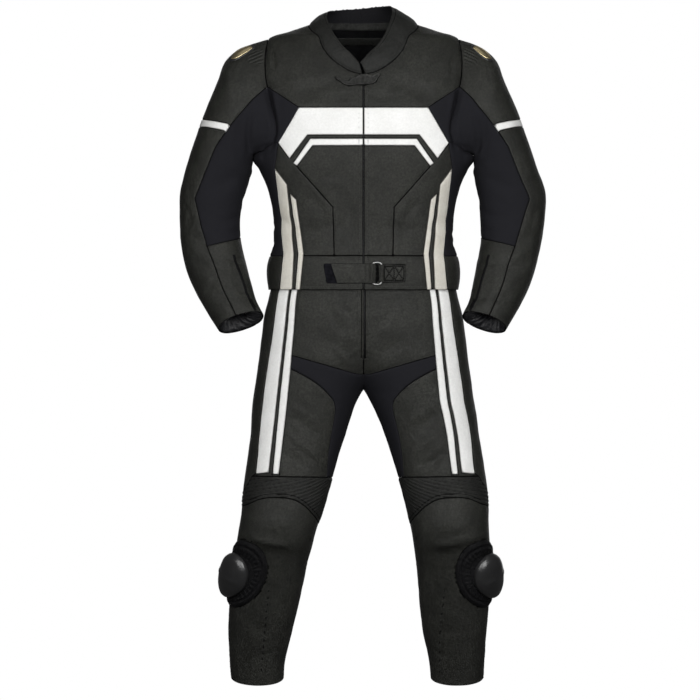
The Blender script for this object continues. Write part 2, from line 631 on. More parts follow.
BODY = Form("torso", torso, TORSO, TORSO_GIRTH, (0, 0.5), (0, 0.25), 1)
ARM = Form("sleeve", sleeve, SLEEVE, SLEEVE_GIRTH, (HIND_SEAM - 1, HIND_SEAM), (-0.25, 0.25), -1)
HALF = Form("leg", leg, LEG, LEG_GIRTH, (INSEAM_START, INSEAM_END), (-0.25, 0.25), 1)
print([(form.name, round(form.length, 3)) for form in (BODY, ARM, HALF)])


# %% Runs on a flat
def measured(places):
    """How far along a run each of its places lies."""
    return np.concatenate([[0], np.cumsum(np.linalg.norm(np.diff(places, axis=0), axis=1))])


def read_along(at, lengths, values):
    """The values of a run, read at other lengths along it."""
    return np.stack([np.interp(at, lengths, column) for column in values.T], axis=-1)


def sampled(points, curved, step=SEAM_STEP):
    """A run through points, cut into steps."""
    points = np.array(points, float)
    lengths = np.linalg.norm(np.diff(points, axis=0), axis=1)
    knots = np.concatenate([[0], np.cumsum(lengths)])
    if not curved:
        counts = np.maximum(1, np.ceil(lengths / step)).astype(int)
        parts = [start + (end - start) * np.arange(count)[:, None] / count
                 for start, end, count in zip(points[:-1], points[1:], counts)]
        return np.concatenate(parts + [points[-1:]])
    at = np.linspace(0, knots[-1], max(3, int(np.ceil(knots[-1] / step)) + 1))
    table = {"along": knots, "a": points[:, 0], "b": points[:, 1]}
    return np.stack([smooth(table, name, at, "along") for name in "ab"], axis=-1)


def locate(form, seen):
    """The spots on a form's front that show at x and height: a coarse search, then Newton steps."""
    seen = np.array(seen, float)
    low = -form.front[1] if form is BODY and seen[:, 0].min() < 0 else form.front[0]
    turns, stations = np.meshgrid(np.linspace(low, form.front[1], 81), np.linspace(0, form.length, 161))
    turns, stations = turns.ravel(), stations.ravel()

    def view(turn, station):
        return form.surface(turn, station, RIGHT)[:, [0, 2]] * [RIGHT, 1]

    coarse = view(turns, stations)
    nearest = [int(np.argmin(((coarse - point) ** 2).sum(axis=1))) for point in seen]
    turn, station = turns[nearest], stations[nearest]
    nudge = 1e-4
    for _ in range(10):
        here = view(turn, station)
        by_turn = (view(turn + nudge, station) - here) / nudge
        by_station = (view(turn, station + nudge) - here) / nudge
        jacobian = np.stack([by_turn, by_station], axis=-1)
        square = np.einsum("nij,nik->njk", jacobian, jacobian) + np.diag([1e-6, 1e-6])
        pull = np.einsum("nij,ni->nj", jacobian, seen - here)
        step = np.linalg.solve(square, pull[..., None])[..., 0]
        turn = np.clip(turn + np.clip(step[:, 0], -0.02, 0.02), low, form.front[1])
        station = np.clip(station + np.clip(step[:, 1], -0.02, 0.02), 0, form.length)
    return np.stack([turn * form.girth, station], axis=-1)


def flat(form, way, points):
    """Points of a table on a form's own flat."""
    points = np.array(points, float)
    if way == "wrap":
        along = points[:, 1] if form is ARM else station_at(form.table, points[:, 1])
        return np.stack([points[:, 0] * form.girth, along], axis=-1)
    return locate(form, points)


def run_of(form, way, points, step=SEAM_STEP):
    """A seam's run: straight between points from the front, or on a smooth curve."""
    if way == "wrap":
        return sampled(flat(form, way, points), len(points) > 2, step)
    return flat(form, way, sampled(points, way == "bend", step))


def line(points, kind="seam", fixed=False, onto=None):
    """A cutting line. A fixed one takes no new points; onto lays a new point exactly on its curve."""
    return {"points": np.array(points, float), "kind": kind, "fixed": fixed, "onto": onto}


def border(at, low, high, upright, kind="none"):
    """A straight side of a form's flat, in steps."""
    ends = [(at, low), (at, high)] if upright else [(low, at), (high, at)]
    return line(sampled(ends, False), kind)


# %% The lines of each form
def body_lines():
    """The jacket body's neckline, armhole, borders and seams."""
    neck = np.concatenate([flat(BODY, "front", NECK_FRONT), flat(BODY, "wrap", NECK_BACK)])
    hole = np.stack([MARK_TURNS * TORSO_GIRTH, MARK_STATIONS], axis=-1)
    half = 0.5 * TORSO_GIRTH
    lines = [line(sampled(neck, True)), line(hole, fixed=True), border(0.0, 0, half, False, "edge"),
             border(0.0, 0, BODY.length, True), border(half, 0, BODY.length, True)]
    for name, way, points in TORSO_SEAMS:
        lines.append(line(run_of(BODY, way, points), "lip" if name == "zip" else "seam"))
    return lines


def arm_lines():
    """The sleeve's top with the armhole's own marks, its cuff, its hind seam and the others."""
    top = np.stack([MARKS * SLEEVE_GIRTH, np.zeros_like(MARKS)], axis=-1)
    low, high = (turn * SLEEVE_GIRTH for turn in ARM.turns)
    lines = [line(top, fixed=True), border(ARM.length, low, high, False, "edge"),
             border(low, 0, ARM.length, True, "seam"), border(high, 0, ARM.length, True, "seam")]
    return lines + [line(run_of(ARM, way, points)) for _, way, points in SLEEVE_SEAMS]


def leg_lines():
    """The trousers' centre seams, inseam, hem and seams."""
    crotch = station_at(LEG, 0.672)
    stations = crotch + np.linspace(0, 1, 120) ** 2 * (HALF.length - crotch)
    lines = []
    for at_back, end in ((False, INSEAM_START), (True, INSEAM_END)):
        turns = centre_seam_turn(stations, at_back)
        turns[0] = end
        lengths = measured(leg(turns, stations, RIGHT))
        at = np.linspace(0, lengths[-1], int(np.ceil(lengths[-1] / SEAM_STEP)) + 1)
        near = np.interp(at, lengths, stations)
        exact = centre_seam_turn(near, at_back)
        exact[0] = end

        def onto(point, at_back=at_back):
            return np.array([centre_seam_turn(point[1], at_back) * LEG_GIRTH, point[1]])

        lines.append(line(np.stack([exact * LEG_GIRTH, near], axis=-1), "centre", onto=onto))
        lines.append(border(end * LEG_GIRTH, 0, crotch, True))
    turns = np.linspace(INSEAM_START, INSEAM_END, 110)
    middle = station_at(LEG, HEM_MIDDLE)
    behind = leg(turns, np.full_like(turns, middle), RIGHT)[:, 1] - smooth(LEG, "y", middle)
    hem = np.stack([turns * LEG_GIRTH, station_at(LEG, HEM_MIDDLE + HEM_SLOPE * behind)], axis=-1)
    lines += [line(hem, "edge"), border(HALF.length, 0, 0.5 * LEG_GIRTH, False)]
    for name, way, points in LEG_SEAMS:
        lines.append(line(run_of(HALF, way, points), "lip" if name == "fly" else "seam"))
    return lines


# %% [markdown]
# ## Joining the lines
#
# Seams are drawn to within a few millimetres of each other, as chalk lines are, and each end is then
# put exactly on the line it meets. Where two borders of a flat are one seam of the garment, both get the
# same points, so that the cloth closes there without a crack.

# %% Join the ends and match the borders
def join_ends(lines):
    """Ends each line on the line that it nearly meets, in a point that both of them have."""
    for number, own in enumerate(lines):
        for end in (0, -1):
            point = own["points"][end]
            best = None
            for other_number, other in enumerate(lines):
                if other_number == number:
                    continue
                starts, ends = other["points"][:-1], other["points"][1:]
                run = ends - starts
                share = ((point - starts) * run).sum(axis=1) / np.maximum((run ** 2).sum(axis=1), 1e-12)
                foot = starts + run * np.clip(share, 0, 1)[:, None]
                gaps = np.linalg.norm(point - foot, axis=1)
                near = int(np.argmin(gaps))
                if gaps[near] < JOIN_REACH and (best is None or gaps[near] < best[0]):
                    best = (gaps[near], other, near, foot[near])
            if best is None:
                continue
            _, other, near, foot = best
            if other["onto"]:
                foot = other["onto"](foot)
            corners = other["points"][near:near + 2]
            reach = np.linalg.norm(corners - foot, axis=1)
            closest = int(np.argmin(reach))
            if other["fixed"] or reach[closest] < CORNER_REACH:
                own["points"][end] = corners[closest]
            else:
                other["points"] = np.insert(other["points"], near + 1, foot, axis=0)
                own["points"][end] = foot


def match_twins(form, lines):
    """Gives the two borders of a form that are one seam of the garment the same stations."""
    ends = [turn * form.girth for turn in form.turns]
    twins = [next(run for run in lines if np.all(run["points"][:, 0] == end)) for end in ends]
    stations = np.unique(np.concatenate([run["points"][:, 1] for run in twins]).round(6))
    for run, end in zip(twins, ends):
        run["points"] = np.stack([np.full_like(stations, end), stations], axis=-1)
    for own in lines:
        for place in (0, -1):
            point = own["points"][place]
            if point[0] in ends:
                point[1] = point[1].round(6)


# %% [markdown]
# ## Points for the cloth
#
# Folds need points where the cloth bends. Seams get rows of their own at each side, so the groove is
# round, ribs get a fine mesh, and the rest is in staggered rows. A K-D tree drops the crowded ones.

# %% Scatter the points
def tree_of(places):
    tree = KDTree(len(places))
    for number, place in enumerate(places):
        tree.insert(place, number)
    tree.balance()
    return tree


def thinned(places, limit):
    """Which places to keep, so that no two that are kept lie within a limit."""
    tree, keep = tree_of(places), np.ones(len(places), bool)
    for number, place in enumerate(places):
        if keep[number]:
            for _, other, _ in tree.find_range(place, limit):
                if other > number:
                    keep[other] = False
    return keep


def clear_of(tree, places, limit):
    return np.array([tree.find(place)[2] > limit for place in places], bool)


def rows_over(form, low, high, start, end, gap):
    """Staggered rows of spots over a part of a form's flat."""
    spots = []
    rows = max(2, int((end - start) / (0.87 * gap)))
    for row in range(1, rows):
        station = start + (end - start) * row / rows
        turns = np.linspace(low, high, 160)
        lengths = measured(form.surface(turns, np.full_like(turns, station), RIGHT))
        count = max(2, int(lengths[-1] / gap))
        at = (np.arange(count) + 0.25 + 0.5 * (row % 2)) / count * lengths[-1]
        spots.append(np.stack([np.interp(at, lengths, turns) * form.girth,
                               np.full(count, station)], axis=-1))
    return np.concatenate(spots)


FINE_PATCHES = {
    "torso": [], "sleeve": [(0.09, 0.186, 0.003, 0.062, 0.0019)],
    "leg": [(-0.25, 0.25, 0.372, 0.476, RIB_MESH), (0.68, 0.75, 0.352, 0.474, RIB_MESH)],
}


def scattered(form, lines):
    """The points of the cloth inside its cutting lines."""
    taken = np.concatenate([run["points"] for run in lines])
    low, high = (turn * form.girth for turn in form.turns)
    for gap in SEAM_ROWS:
        rows = [form.beside(run["points"], way * gap) for run in lines if run["kind"] != "none"
                for way in (-1, 1)]
        spots = np.concatenate(rows)
        inside = (spots[:, 0] > low) & (spots[:, 0] < high) & (spots[:, 1] > 0)
        spots = spots[inside & (spots[:, 1] < form.length)]
        places = form.places(spots, RIGHT)
        spots = spots[clear_of(tree_of(form.places(taken, RIGHT)), places, 0.85 * min(gap, 0.0022))]
        spots = spots[thinned(form.places(spots, RIGHT), 0.0024)]
        taken = np.concatenate([taken, spots])
    patches = [(form.turns[0], form.turns[1], 0, form.length, MESH)]
    for start, end, foot, top, gap in FINE_PATCHES[form.name]:
        if form is HALF:
            foot, top = station_at(LEG, foot), station_at(LEG, top)
        patches.insert(0, (start, end, foot, top, gap))
    for start, end, foot, top, gap in patches:
        spots = rows_over(form, start, end, foot, top, gap)
        spots = spots[clear_of(tree_of(form.places(taken, RIGHT)), form.places(spots, RIGHT), 0.66 * gap)]
        taken = np.concatenate([taken, spots])
    return taken[sum(len(run["points"]) for run in lines):]


# %% Cut a form into its panels
def cut_form(form, lines, panels, twins):
    """Cuts a form's flat along its lines: spots, triangles and each triangle's panel."""
    join_ends(lines)
    if twins:
        match_twins(form, lines)
    points = np.concatenate([run["points"] for run in lines])
    edges, first = [], 0
    for run in lines:
        edges += [(first + step, first + step + 1) for step in range(len(run["points"]) - 1)]
        first += len(run["points"])
    points = np.vstack([points, scattered(form, lines)])
    spots, flat_edges, faces, _, sources, _ = delaunay_2d_cdt(
        [Vector(point) for point in points], edges, [], 0, 1e-6)
    walls = {tuple(sorted(edge)) for edge, source in zip(flat_edges, sources) if source}
    spots = np.array([tuple(spot) for spot in spots])
    faces = [tuple(face) for face in faces]
    beside = {}
    for number, face in enumerate(faces):
        for start, end in zip(face, face[1:] + face[:1]):
            beside.setdefault(tuple(sorted((start, end))), []).append(number)
    triangles = np.array(faces)
    corners = spots[triangles]
    panel_of = np.full(len(faces), "", dtype=object)
    for name, way, place in panels:
        seed = flat(form, way, [place])[0]
        sides = []
        for i in range(3):
            edge, reach = corners[:, (i + 1) % 3] - corners[:, i], seed - corners[:, i]
            sides.append(edge[:, 0] * reach[:, 1] - edge[:, 1] * reach[:, 0])
        holds = np.all(np.array(sides) >= 0, axis=0) | np.all(np.array(sides) <= 0, axis=0)
        stack = [int(np.argmax(holds))]
        if panel_of[stack[0]] not in ("", name):
            raise ValueError(f"{name} runs into {panel_of[stack[0]]}")
        while stack:
            number = stack.pop()
            if panel_of[number]:
                continue
            panel_of[number] = name
            face = faces[number]
            for start, end in zip(face, face[1:] + face[:1]):
                pair = tuple(sorted((start, end)))
                if pair not in walls:
                    stack += [other for other in beside[pair] if not panel_of[other]]
    inside = panel_of != ""
    return spots, triangles[inside], panel_of[inside]


CUTS = {}
for form, lines, panels, twins in ((BODY, body_lines(), TORSO_PANELS, False),
                                   (ARM, arm_lines(), SLEEVE_PANELS, True),
                                   (HALF, leg_lines(), LEG_PANELS, True)):
    spots, triangles, panel_of = cut_form(form, lines, panels, twins)
    CUTS[form.name] = {"spots": spots, "triangles": triangles, "panels": panel_of, "lines": lines}
    print(form.name, len(spots), "points", len(triangles), "triangles", len(set(panel_of)), "panels")

# %% [markdown]
# ## Which lines are sewn
#
# Only a line with a different panel at each side is a seam. The neckline and the armhole are seams too,
# since the collar and the sleeve are sewn in there. The slit of a zip and a turned hem have no groove,
# but they have a stitched row beside them. Darts and decorative rows cut nothing and are added here.

# %% Sewn runs, with their stitched rows
RUNS = {"torso": [], "sleeve": [], "leg": []}     # spots, kind, side or 0


def keep_run(form, spots, kind, side=0):
    if len(spots) > 2:
        RUNS[form.name].append((spots, kind, side))


for form in (BODY, ARM, HALF):
    for run in CUTS[form.name]["lines"]:
        spots, kind = run["points"], run["kind"]
        if kind == "none":
            continue
        if kind == "centre":
            heights = smooth(LEG, "height", spots[:, 1])
            at_back = spots[-1, 0] > 0.3 * LEG_GIRTH
            spots = spots[heights > 0.716 if at_back else (heights > 0.706) & (heights < 0.745)]
            kind = "seam"
        if form is HALF and kind == "seam":
            spots = spots[smooth(LEG, "height", spots[:, 1]) < 0.94]
        keep_run(form, spots, kind)
DARTS = [
    (HALF, RIGHT, "front", [(0.216, 0.224), (0.224, 0.15), (0.23, 0.08), (0.236, 0.017)]),
    (HALF, LEFT, "front", [(0.201, 0.213), (0.204, 0.15), (0.2035, 0.08), (0.204, 0.017)]),
    (HALF, 0, "bend", [(0.139, 0.215), (0.129, 0.275), (0.121, 0.335)]),
    (HALF, 0, "wrap", [(turn, height + 0.0082) for turn, height in KNEE_ARC[1:]]),
]
for form, side, way, points in DARTS:
    keep_run(form, run_of(form, way, points), "dart", side)
print({name: len(runs) for name, runs in RUNS.items()}, "sewn runs")


# %% [markdown]
# ## Relief of the cloth
#
# Every place of the cloth asks four things: how near it is to a crease, how near to a seam, whether it
# lies on a rib, and what the slow waves of stuffed leather do there. The answers are added up. The inner
# skin follows the folds alone, the outer one has all of them.

# %% Traces and waves
def bell(x, middle, width):
    """1 at the middle, and falling off softly within about a width to each side."""
    return np.exp(-((x - middle) / width) ** 2)


def ramp(x, start, length):
    """0 up to the start, 1 from a length further on, and a straight slope between."""
    return np.clip((x - start) / length, 0, 1)


class Trace:
    """A run of a form laid in the air, to measure how near other places are, and how far along."""

    def __init__(self, form, spots, side, gap=0.0012):
        lengths = measured(form.places(spots, side))
        self.along = np.linspace(0, lengths[-1], max(4, int(lengths[-1] / gap)))
        self.spots = read_along(self.along, lengths, spots)
        self.places = form.places(self.spots, side)
        self.ahead = unit(np.gradient(self.places, axis=0))
        self.tree = None

    def near(self, places, reach):
        """For the places within a reach: their numbers, the gap, and the number of the nearest point."""
        low, high = self.places.min(axis=0) - reach, self.places.max(axis=0) + reach
        chosen = np.flatnonzero(np.all((places > low) & (places < high), axis=1))
        if self.tree is None:
            self.tree = tree_of(self.places)
        found = np.array([self.tree.find(place)[1] for place in places[chosen]], int)
        if not len(found):
            return chosen, np.zeros(0), found
        away = places[chosen] - self.places[found]
        along = np.clip((away * self.ahead[found]).sum(axis=1), -0.0007, 0.0007)
        gap = np.linalg.norm(away - along[:, None] * self.ahead[found], axis=1)
        close = gap < reach
        return chosen[close], gap[close], found[close]


def waves(places, count, shortest, longest, seed):
    """Slow, uneven waves: a sum of sines in many directions, about 1 at their highest."""
    draw = np.random.default_rng(seed)
    ways = unit(draw.normal(size=(count, 3)))
    sizes = 2 * np.pi / draw.uniform(shortest, longest, count)
    starts = draw.uniform(0, 2 * np.pi, count)
    return np.sin(places @ (ways * sizes[:, None]).T + starts).sum(axis=1) / np.sqrt(2 * count)


# %% Outlines of what is sewn on, where the cloth under them is pressed in
STRAP_TOP, STRAP_FOOT, FOLD_X = 0.9615, 0.9168, 0.0282
TRIMS = {
    "hook": [(-0.0915, 0.9585), (-0.0895, 0.9618), (-0.066, 0.9618), (-0.052, 0.916), (-0.082, 0.9165),
             (-0.0845, 0.919)],
    "strap": [(-0.0752, STRAP_TOP), (-0.0603, STRAP_FOOT), (FOLD_X, STRAP_FOOT), (FOLD_X, STRAP_TOP)],
    "anchor": [(0.0342, 0.958), (0.048, 0.96), (0.094, 0.959), (0.0962, 0.9565), (0.0958, 0.9215),
               (0.0935, 0.919), (0.048, 0.9185), (0.0342, 0.92)],
    "ring_gap": [(0.0302, 0.9225), (0.0302, 0.956), (0.0322, 0.956), (0.0322, 0.9225)],
    "tab": [(-0.064, 1.3885), (-0.059, 1.39), (-0.044, 1.381), (-0.034, 1.379), (-0.029, 1.386),
            (-0.018, 1.389), (-0.006, 1.395), (0.008, 1.3955), (0.015, 1.392), (0.021, 1.392),
            (0.03, 1.3975), (0.0365, 1.3965), (0.038, 1.3925), (0.03, 1.38), (0.023, 1.3725),
            (0.015, 1.3718), (0.0, 1.37), (-0.02, 1.3695), (-0.035, 1.3685), (-0.045, 1.3715),
            (-0.064, 1.3845)],
}
SLIDER = {"turn": 0.158, "height": 0.25, "half_turn": 0.15, "half_height": 0.078}
PRESS_DEPTH = 0.0011


def outline_run(form, outline):
    """A closed outline, as it shows from the front, as a run on the flat."""
    return locate(form, sampled(outline + outline[:1], False, 0.004))


def oval(shape, size, count=48, egg=0.0):
    """An oval outline on the leg's flat, in turn and height."""
    angle = np.linspace(0, 2 * np.pi, count + 1)[:-1]
    narrow = 1 - egg * np.sin(angle)
    turn = shape["turn"] + size * shape["half_turn"] * np.cos(angle) * narrow
    height = shape["height"] + size * shape["half_height"] * np.sin(angle)
    return np.stack([turn * LEG_GIRTH, station_at(LEG, height)], axis=-1)


SLIDER_EDGE = oval(SLIDER, 1.02)

# %% The relief itself
CREASES = {"torso": TORSO_CREASES, "sleeve": SLEEVE_CREASES, "leg": LEG_CREASES}
TRACES = {}
for form in (BODY, ARM, HALF):
    for side in (RIGHT, LEFT):
        creases = [(Trace(form, sampled(flat(form, way, points), len(points) > 2, 0.004), side), reach, depth)
                   for only, way, points, reach, depth in CREASES[form.name] if only in (0, side)]
        runs = [(Trace(form, spots, side), kind) for spots, kind, only in RUNS[form.name]
                if only in (0, side)]
        if form is BODY:
            runs += [(Trace(BODY, outline_run(BODY, outline), LEFT), "pressed") for outline in TRIMS.values()]
        if form is HALF:
            runs.append((Trace(HALF, np.vstack([SLIDER_EDGE, SLIDER_EDGE[:1]]), side), "pressed"))
        TRACES[form.name, side] = (creases, runs)


def bars(height, held, phase):
    """Rounded bars, one for each whole step of the phase."""
    return height * held * (np.abs(np.cos(np.pi * phase)) ** 0.8 - 0.52)


def knee_ribs(spots):
    """Slanted ribs of the stretch band over the knee, which rise towards the inner side."""
    turns, heights = spots[:, 0] / LEG_GIRTH, smooth(LEG, "height", spots[:, 1])
    turns = np.where(turns > 0.6, turns - 1, turns)
    inward = -turns * LEG_GIRTH
    phase = (heights - 0.43 - (0.15 * inward + 2.2 * np.maximum(inward, 0) ** 2)) / 0.0088
    arc = np.interp(turns, [t for t, _ in KNEE_ARC[::-1]], [z for _, z in KNEE_ARC[::-1]], left=0.36)
    top = np.interp(turns, [-0.31, -0.17, 0.16, 0.27], [0.47, KNEE_TOP, 0.474, 0.425])
    held = ramp(heights, arc, 0.006) * ramp(top, heights, 0.006)
    return bars(0.0029, held, phase)


def shoulder_ribs(spots):
    """A patch of raised bars over the shoulder, where the leather is gathered on elastic."""
    turns, stations = spots[:, 0] / SLEEVE_GIRTH, spots[:, 1]
    held = np.clip((turns - 0.112 - 0.35 * stations) / 0.008, 0, 1) * np.clip((0.18 - turns) / 0.008, 0, 1)
    held = held * ramp(stations, 0.006, 0.004) * np.clip((0.05 - stations) / 0.005, 0, 1)
    return bars(0.003, held, 82 * turns + 22 * stations)


def relief(form, side, spots, places):
    """The folds of both skins, the finer relief of the outer one, and how near a seam is."""
    folds = 0.00055 * waves(places, 26, 0.045, 0.11, 3) + 0.00022 * waves(places, 26, 0.018, 0.034, 5)
    fine, nearest = np.zeros(len(places)), np.full(len(places), 0.05)
    creases, runs = TRACES[form.name, side]
    for trace, reach, depth in creases:
        chosen, gap, found = trace.near(places, 2.8 * reach)
        share = found / max(len(trace.along) - 1, 1)
        held = np.sqrt(np.clip(1 - (2 * share - 1) ** 2, 0, 1))
        ends = np.exp(-(np.maximum(gap / reach - 0.2, 0)) ** 2)
        q = gap / reach
        shape = np.exp(-1.2 * q ** 1.5) - 0.3 * bell(q, 1.45, 0.55)
        folds[chosen] += depth * shape * (0.12 + 0.88 * held) * ends ** 0.3
    for number, (trace, kind) in enumerate(runs):
        chosen, gap, found = trace.near(places, 0.022)
        nearest[chosen] = np.minimum(nearest[chosen], gap)
        depth = {"seam": SEAM_DEPTH, "dart": DART_DEPTH, "pressed": PRESS_DEPTH}.get(kind, 0.0)
        draw = np.random.default_rng(100 + number)
        along = trace.along[found]
        ripple = sum(np.sin(2 * np.pi * along / size + start) for size, start in
                     zip(draw.uniform(0.012, 0.026, 3), draw.uniform(0, 6.28, 3))) / 1.7
        puckers = 0.00034 * ripple * bell(gap, 0, 0.009) * (1 - bell(gap, 0, 0.003))
        grooves = -depth * bell(gap, 0, SEAM_ROLL)
        grooves += 0.22 * depth * bell(gap, 0.0042, 0.0022)
        if kind == "lip":
            grooves = 0.0009 * bell(gap, 0.0035, 0.0026) - 0.001 * bell(gap, 0, 0.0016)
            grooves -= 0.0007 * bell(gap, 0.0092, 0.0013)
        rise = np.where(np.abs(grooves) > np.abs(fine[chosen]), grooves, fine[chosen]) if kind == "lip" else (
            np.minimum(fine[chosen], grooves))
        fine[chosen] = rise + puckers * (kind in ("seam", "dart"))
    if form is HALF:
        fine += knee_ribs(spots)
    if form is ARM:
        fine += shoulder_ribs(spots)
    return folds, fine, nearest


print("runs to measure", {key: (len(pair[0]), len(pair[1])) for key, pair in TRACES.items()})

# %% [markdown]
# ## Writing materials as sums
#
# A finish is made of small questions: where is the grain, how near is a seam, how worn is the edge. Node
# links hide such sums, so a small class lets them be written as plain expressions. Each operator adds one
# Math node. Colours are mixed with Mix nodes, since a Math node would turn them grey.

# %% A wire and a finish
class Wire:
    """One output of a node. Sums on wires add Math nodes."""

    def __init__(self, finish, socket):
        self.finish, self.socket = finish, socket

    def math(self, operation, *values, clamp=False):
        settings = {"operation": operation, "use_clamp": clamp}
        return self.finish.node("ShaderNodeMath", settings, dict(enumerate(values)))

    def __add__(self, other):
        return self.math("ADD", self, other)

    def __sub__(self, other):
        return self.math("SUBTRACT", self, other)

    def __rsub__(self, other):
        return self.math("SUBTRACT", other, self)

    def __mul__(self, other):
        return self.math("MULTIPLY", self, other)

    def __truediv__(self, other):
        return self.math("DIVIDE", self, other)

    def __pow__(self, other):
        return self.math("POWER", self, other)

    __radd__, __rmul__ = __add__, __mul__

    def sine(self):
        return self.math("SINE", self)

    def between(self, low, high):
        """0 up to low, 1 from high on, and a soft step between them."""
        return self.finish.node("ShaderNodeMapRange", {"interpolation_type": "SMOOTHSTEP"},
                                {"Value": self, "From Min": low, "From Max": high})


class Finish:
    """A material whose nodes are written as expressions. Constants go straight on the shader."""

    def __init__(self, name, **constants):
        self.material = bpy.data.materials.new(name)
        self.material.use_nodes = True
        self.tree = self.material.node_tree
        self.shader = self.tree.nodes["Principled BSDF"]
        for socket, value in constants.items():
            self.shader.inputs[socket.replace("_", " ")].default_value = value

    def put(self, socket, value):
        if isinstance(value, Wire):
            self.tree.links.new(value.socket, socket)
        else:
            socket.default_value = value

    def node(self, kind, settings=(), inputs=(), output=0):
        made = self.tree.nodes.new(kind)
        for name, value in dict(settings).items():
            setattr(made, name, value)
        for name, value in dict(inputs).items():
            self.put(made.inputs[name], value)
        return Wire(self, made.outputs[output])

    def feed(self, **values):
        for name, value in values.items():
            self.put(self.shader.inputs[name.replace("_", " ")], value)

    def mix(self, share, first, second):
        """A colour between two colours."""
        return self.node("ShaderNodeMix", {"data_type": "RGBA"}, {0: share, 6: first, 7: second}, 2)

    def deepen(self, share):
        """Lets a dull near-black show by a share, as at the bottom of a seam or under an edge."""
        dull = self.tree.nodes.new("ShaderNodeBsdfPrincipled")
        dull.inputs["Base Color"].default_value = (0.0012, 0.0012, 0.0014, 1)
        dull.inputs["Roughness"].default_value = 0.95
        dull.inputs["Specular IOR Level"].default_value = 0.04
        both = self.tree.nodes.new("ShaderNodeMixShader")
        self.put(both.inputs[0], share)
        self.tree.links.new(self.shader.outputs[0], both.inputs[1])
        self.tree.links.new(dull.outputs[0], both.inputs[2])
        self.tree.links.new(both.outputs[0], self.tree.nodes["Material Output"].inputs["Surface"])

    def attribute(self, name, output="Fac"):
        return self.node("ShaderNodeAttribute", {"attribute_name": name}, (), output)

    def place(self):
        return self.node("ShaderNodeTexCoord", (), (), "Object")

    def noise(self, size, detail=3.0, roughness=0.55, output="Fac"):
        """Noise whose grains are about that size in metres."""
        return self.node("ShaderNodeTexNoise", (), {"Vector": self.place(), "Scale": 1 / size,
                                                    "Detail": detail, "Roughness": roughness}, output)

    def cells(self, size, feature="F1", output="Distance"):
        """Voronoi cells of about that size in metres."""
        return self.node("ShaderNodeTexVoronoi", {"feature": feature},
                         {"Vector": self.place(), "Scale": 1 / size}, output)

    def bump(self, height, distance, strength=1.0):
        """Lets a height from 0 to 1 stand out by a distance in metres."""
        self.feed(Normal=self.node("ShaderNodeBump", (), {"Height": height, "Distance": distance,
                                                          "Strength": strength}))


# %% [markdown]
# ## Leather, stretch cloth and the rest
#
# Cowhide is finished with a thin coat over an embossed grain of cells a little over a millimetre wide.
# It creases finely where it was rolled, shines softly, and its coat is rubbed paler along raised edges.
# The stretch cloth is a dull knit with fine ribs. Every finish below has its own grain, tone and gloss.

# %% Leather
def leather(name, dark, light, rubbed, gloss, wear=0.5, shine=0.3):
    """Grained leather: two tones, a rubbed tone along the seams, and a roughness."""
    made = Finish(name, Specular_IOR_Level=shine)
    tone = made.noise(0.06, 4.0)
    fine_tone = made.noise(0.006, 3.0)
    colour = made.mix((tone * 0.7 + fine_tone * 0.3).between(0.35, 0.65), dark, light)
    near = made.attribute("near")
    rub = (1 - near.between(0.0006, 0.0042)) * made.noise(0.011, 3.0).between(0.42, 0.64)
    raised = made.attribute("fold").between(0.0012, 0.004) * made.noise(0.004, 2.0).between(0.35, 0.6)
    colour = made.mix(rub * wear + raised * (0.4 * wear), colour, rubbed)
    grain = made.cells(0.0015, "DISTANCE_TO_EDGE").between(0.0, 0.22)
    hollow = (1 - made.attribute("fine").between(-0.0014, -0.0002)) * 0.75
    hollow = hollow + (1 - near.between(0.0005, 0.0016)) * 0.8
    hollow = hollow.math("MINIMUM", hollow, 0.92)
    if dark[0] < 0.1:
        made.deepen(hollow)
    else:
        colour = made.mix(hollow, colour, [0.22 * value for value in dark[:3]] + [1])
    blotches = made.noise(0.0046, 4.0, 0.7).between(0.36, 0.62) * (0.75 if dark[0] < 0.1 else 0.1)
    colour = made.mix(blotches, colour, [0.45 * value for value in dark[:3]] + [1])
    break_lines = made.noise(0.0075, 5.0, 0.62)
    crumple = made.noise(0.019, 3.0, 0.55)
    made.feed(Base_Color=colour, Roughness=made.noise(0.02, 4.0) * 0.16 + (gloss - 0.07) - grain * 0.05)
    made.bump(grain * 0.26 + break_lines * 0.8 + crumple * 0.8, 0.0013, 0.9)
    return made.material


BLACK_LEATHER = leather("black_leather", (0.015, 0.0154, 0.0126, 1), (0.027, 0.0276, 0.0228, 1),
                        (0.05, 0.05, 0.045, 1), 0.47)
RIBBED_LEATHER = leather("ribbed_leather", (0.01, 0.0102, 0.009, 1), (0.02, 0.0205, 0.018, 1),
                         (0.04, 0.04, 0.036, 1), 0.5, 0.3)
BASE_LEATHER = leather("slider_base_leather", (0.0035, 0.0035, 0.0042, 1), (0.006, 0.006, 0.007, 1),
                       (0.03, 0.03, 0.03, 1), 0.5, 0.3, 0.18)
WHITE_LEATHER = leather("white_leather", (0.83, 0.83, 0.81, 1), (0.88, 0.88, 0.865, 1),
                        (0.7, 0.69, 0.66, 1), 0.46)
PALE_LEATHER = leather("pale_leather", (0.62, 0.59, 0.52, 1), (0.69, 0.67, 0.6, 1),
                       (0.52, 0.49, 0.42, 1), 0.5)
COLLAR_LEATHER = leather("soft_collar_leather", (0.0115, 0.012, 0.0105, 1), (0.017, 0.0175, 0.0155, 1),
                         (0.04, 0.04, 0.037, 1), 0.52)
TAB_LEATHER = leather("tab_leather", (0.011, 0.0112, 0.01, 1), (0.026, 0.026, 0.024, 1),
                      (0.085, 0.085, 0.078, 1), 0.4, 0.9)
print("leathers made")


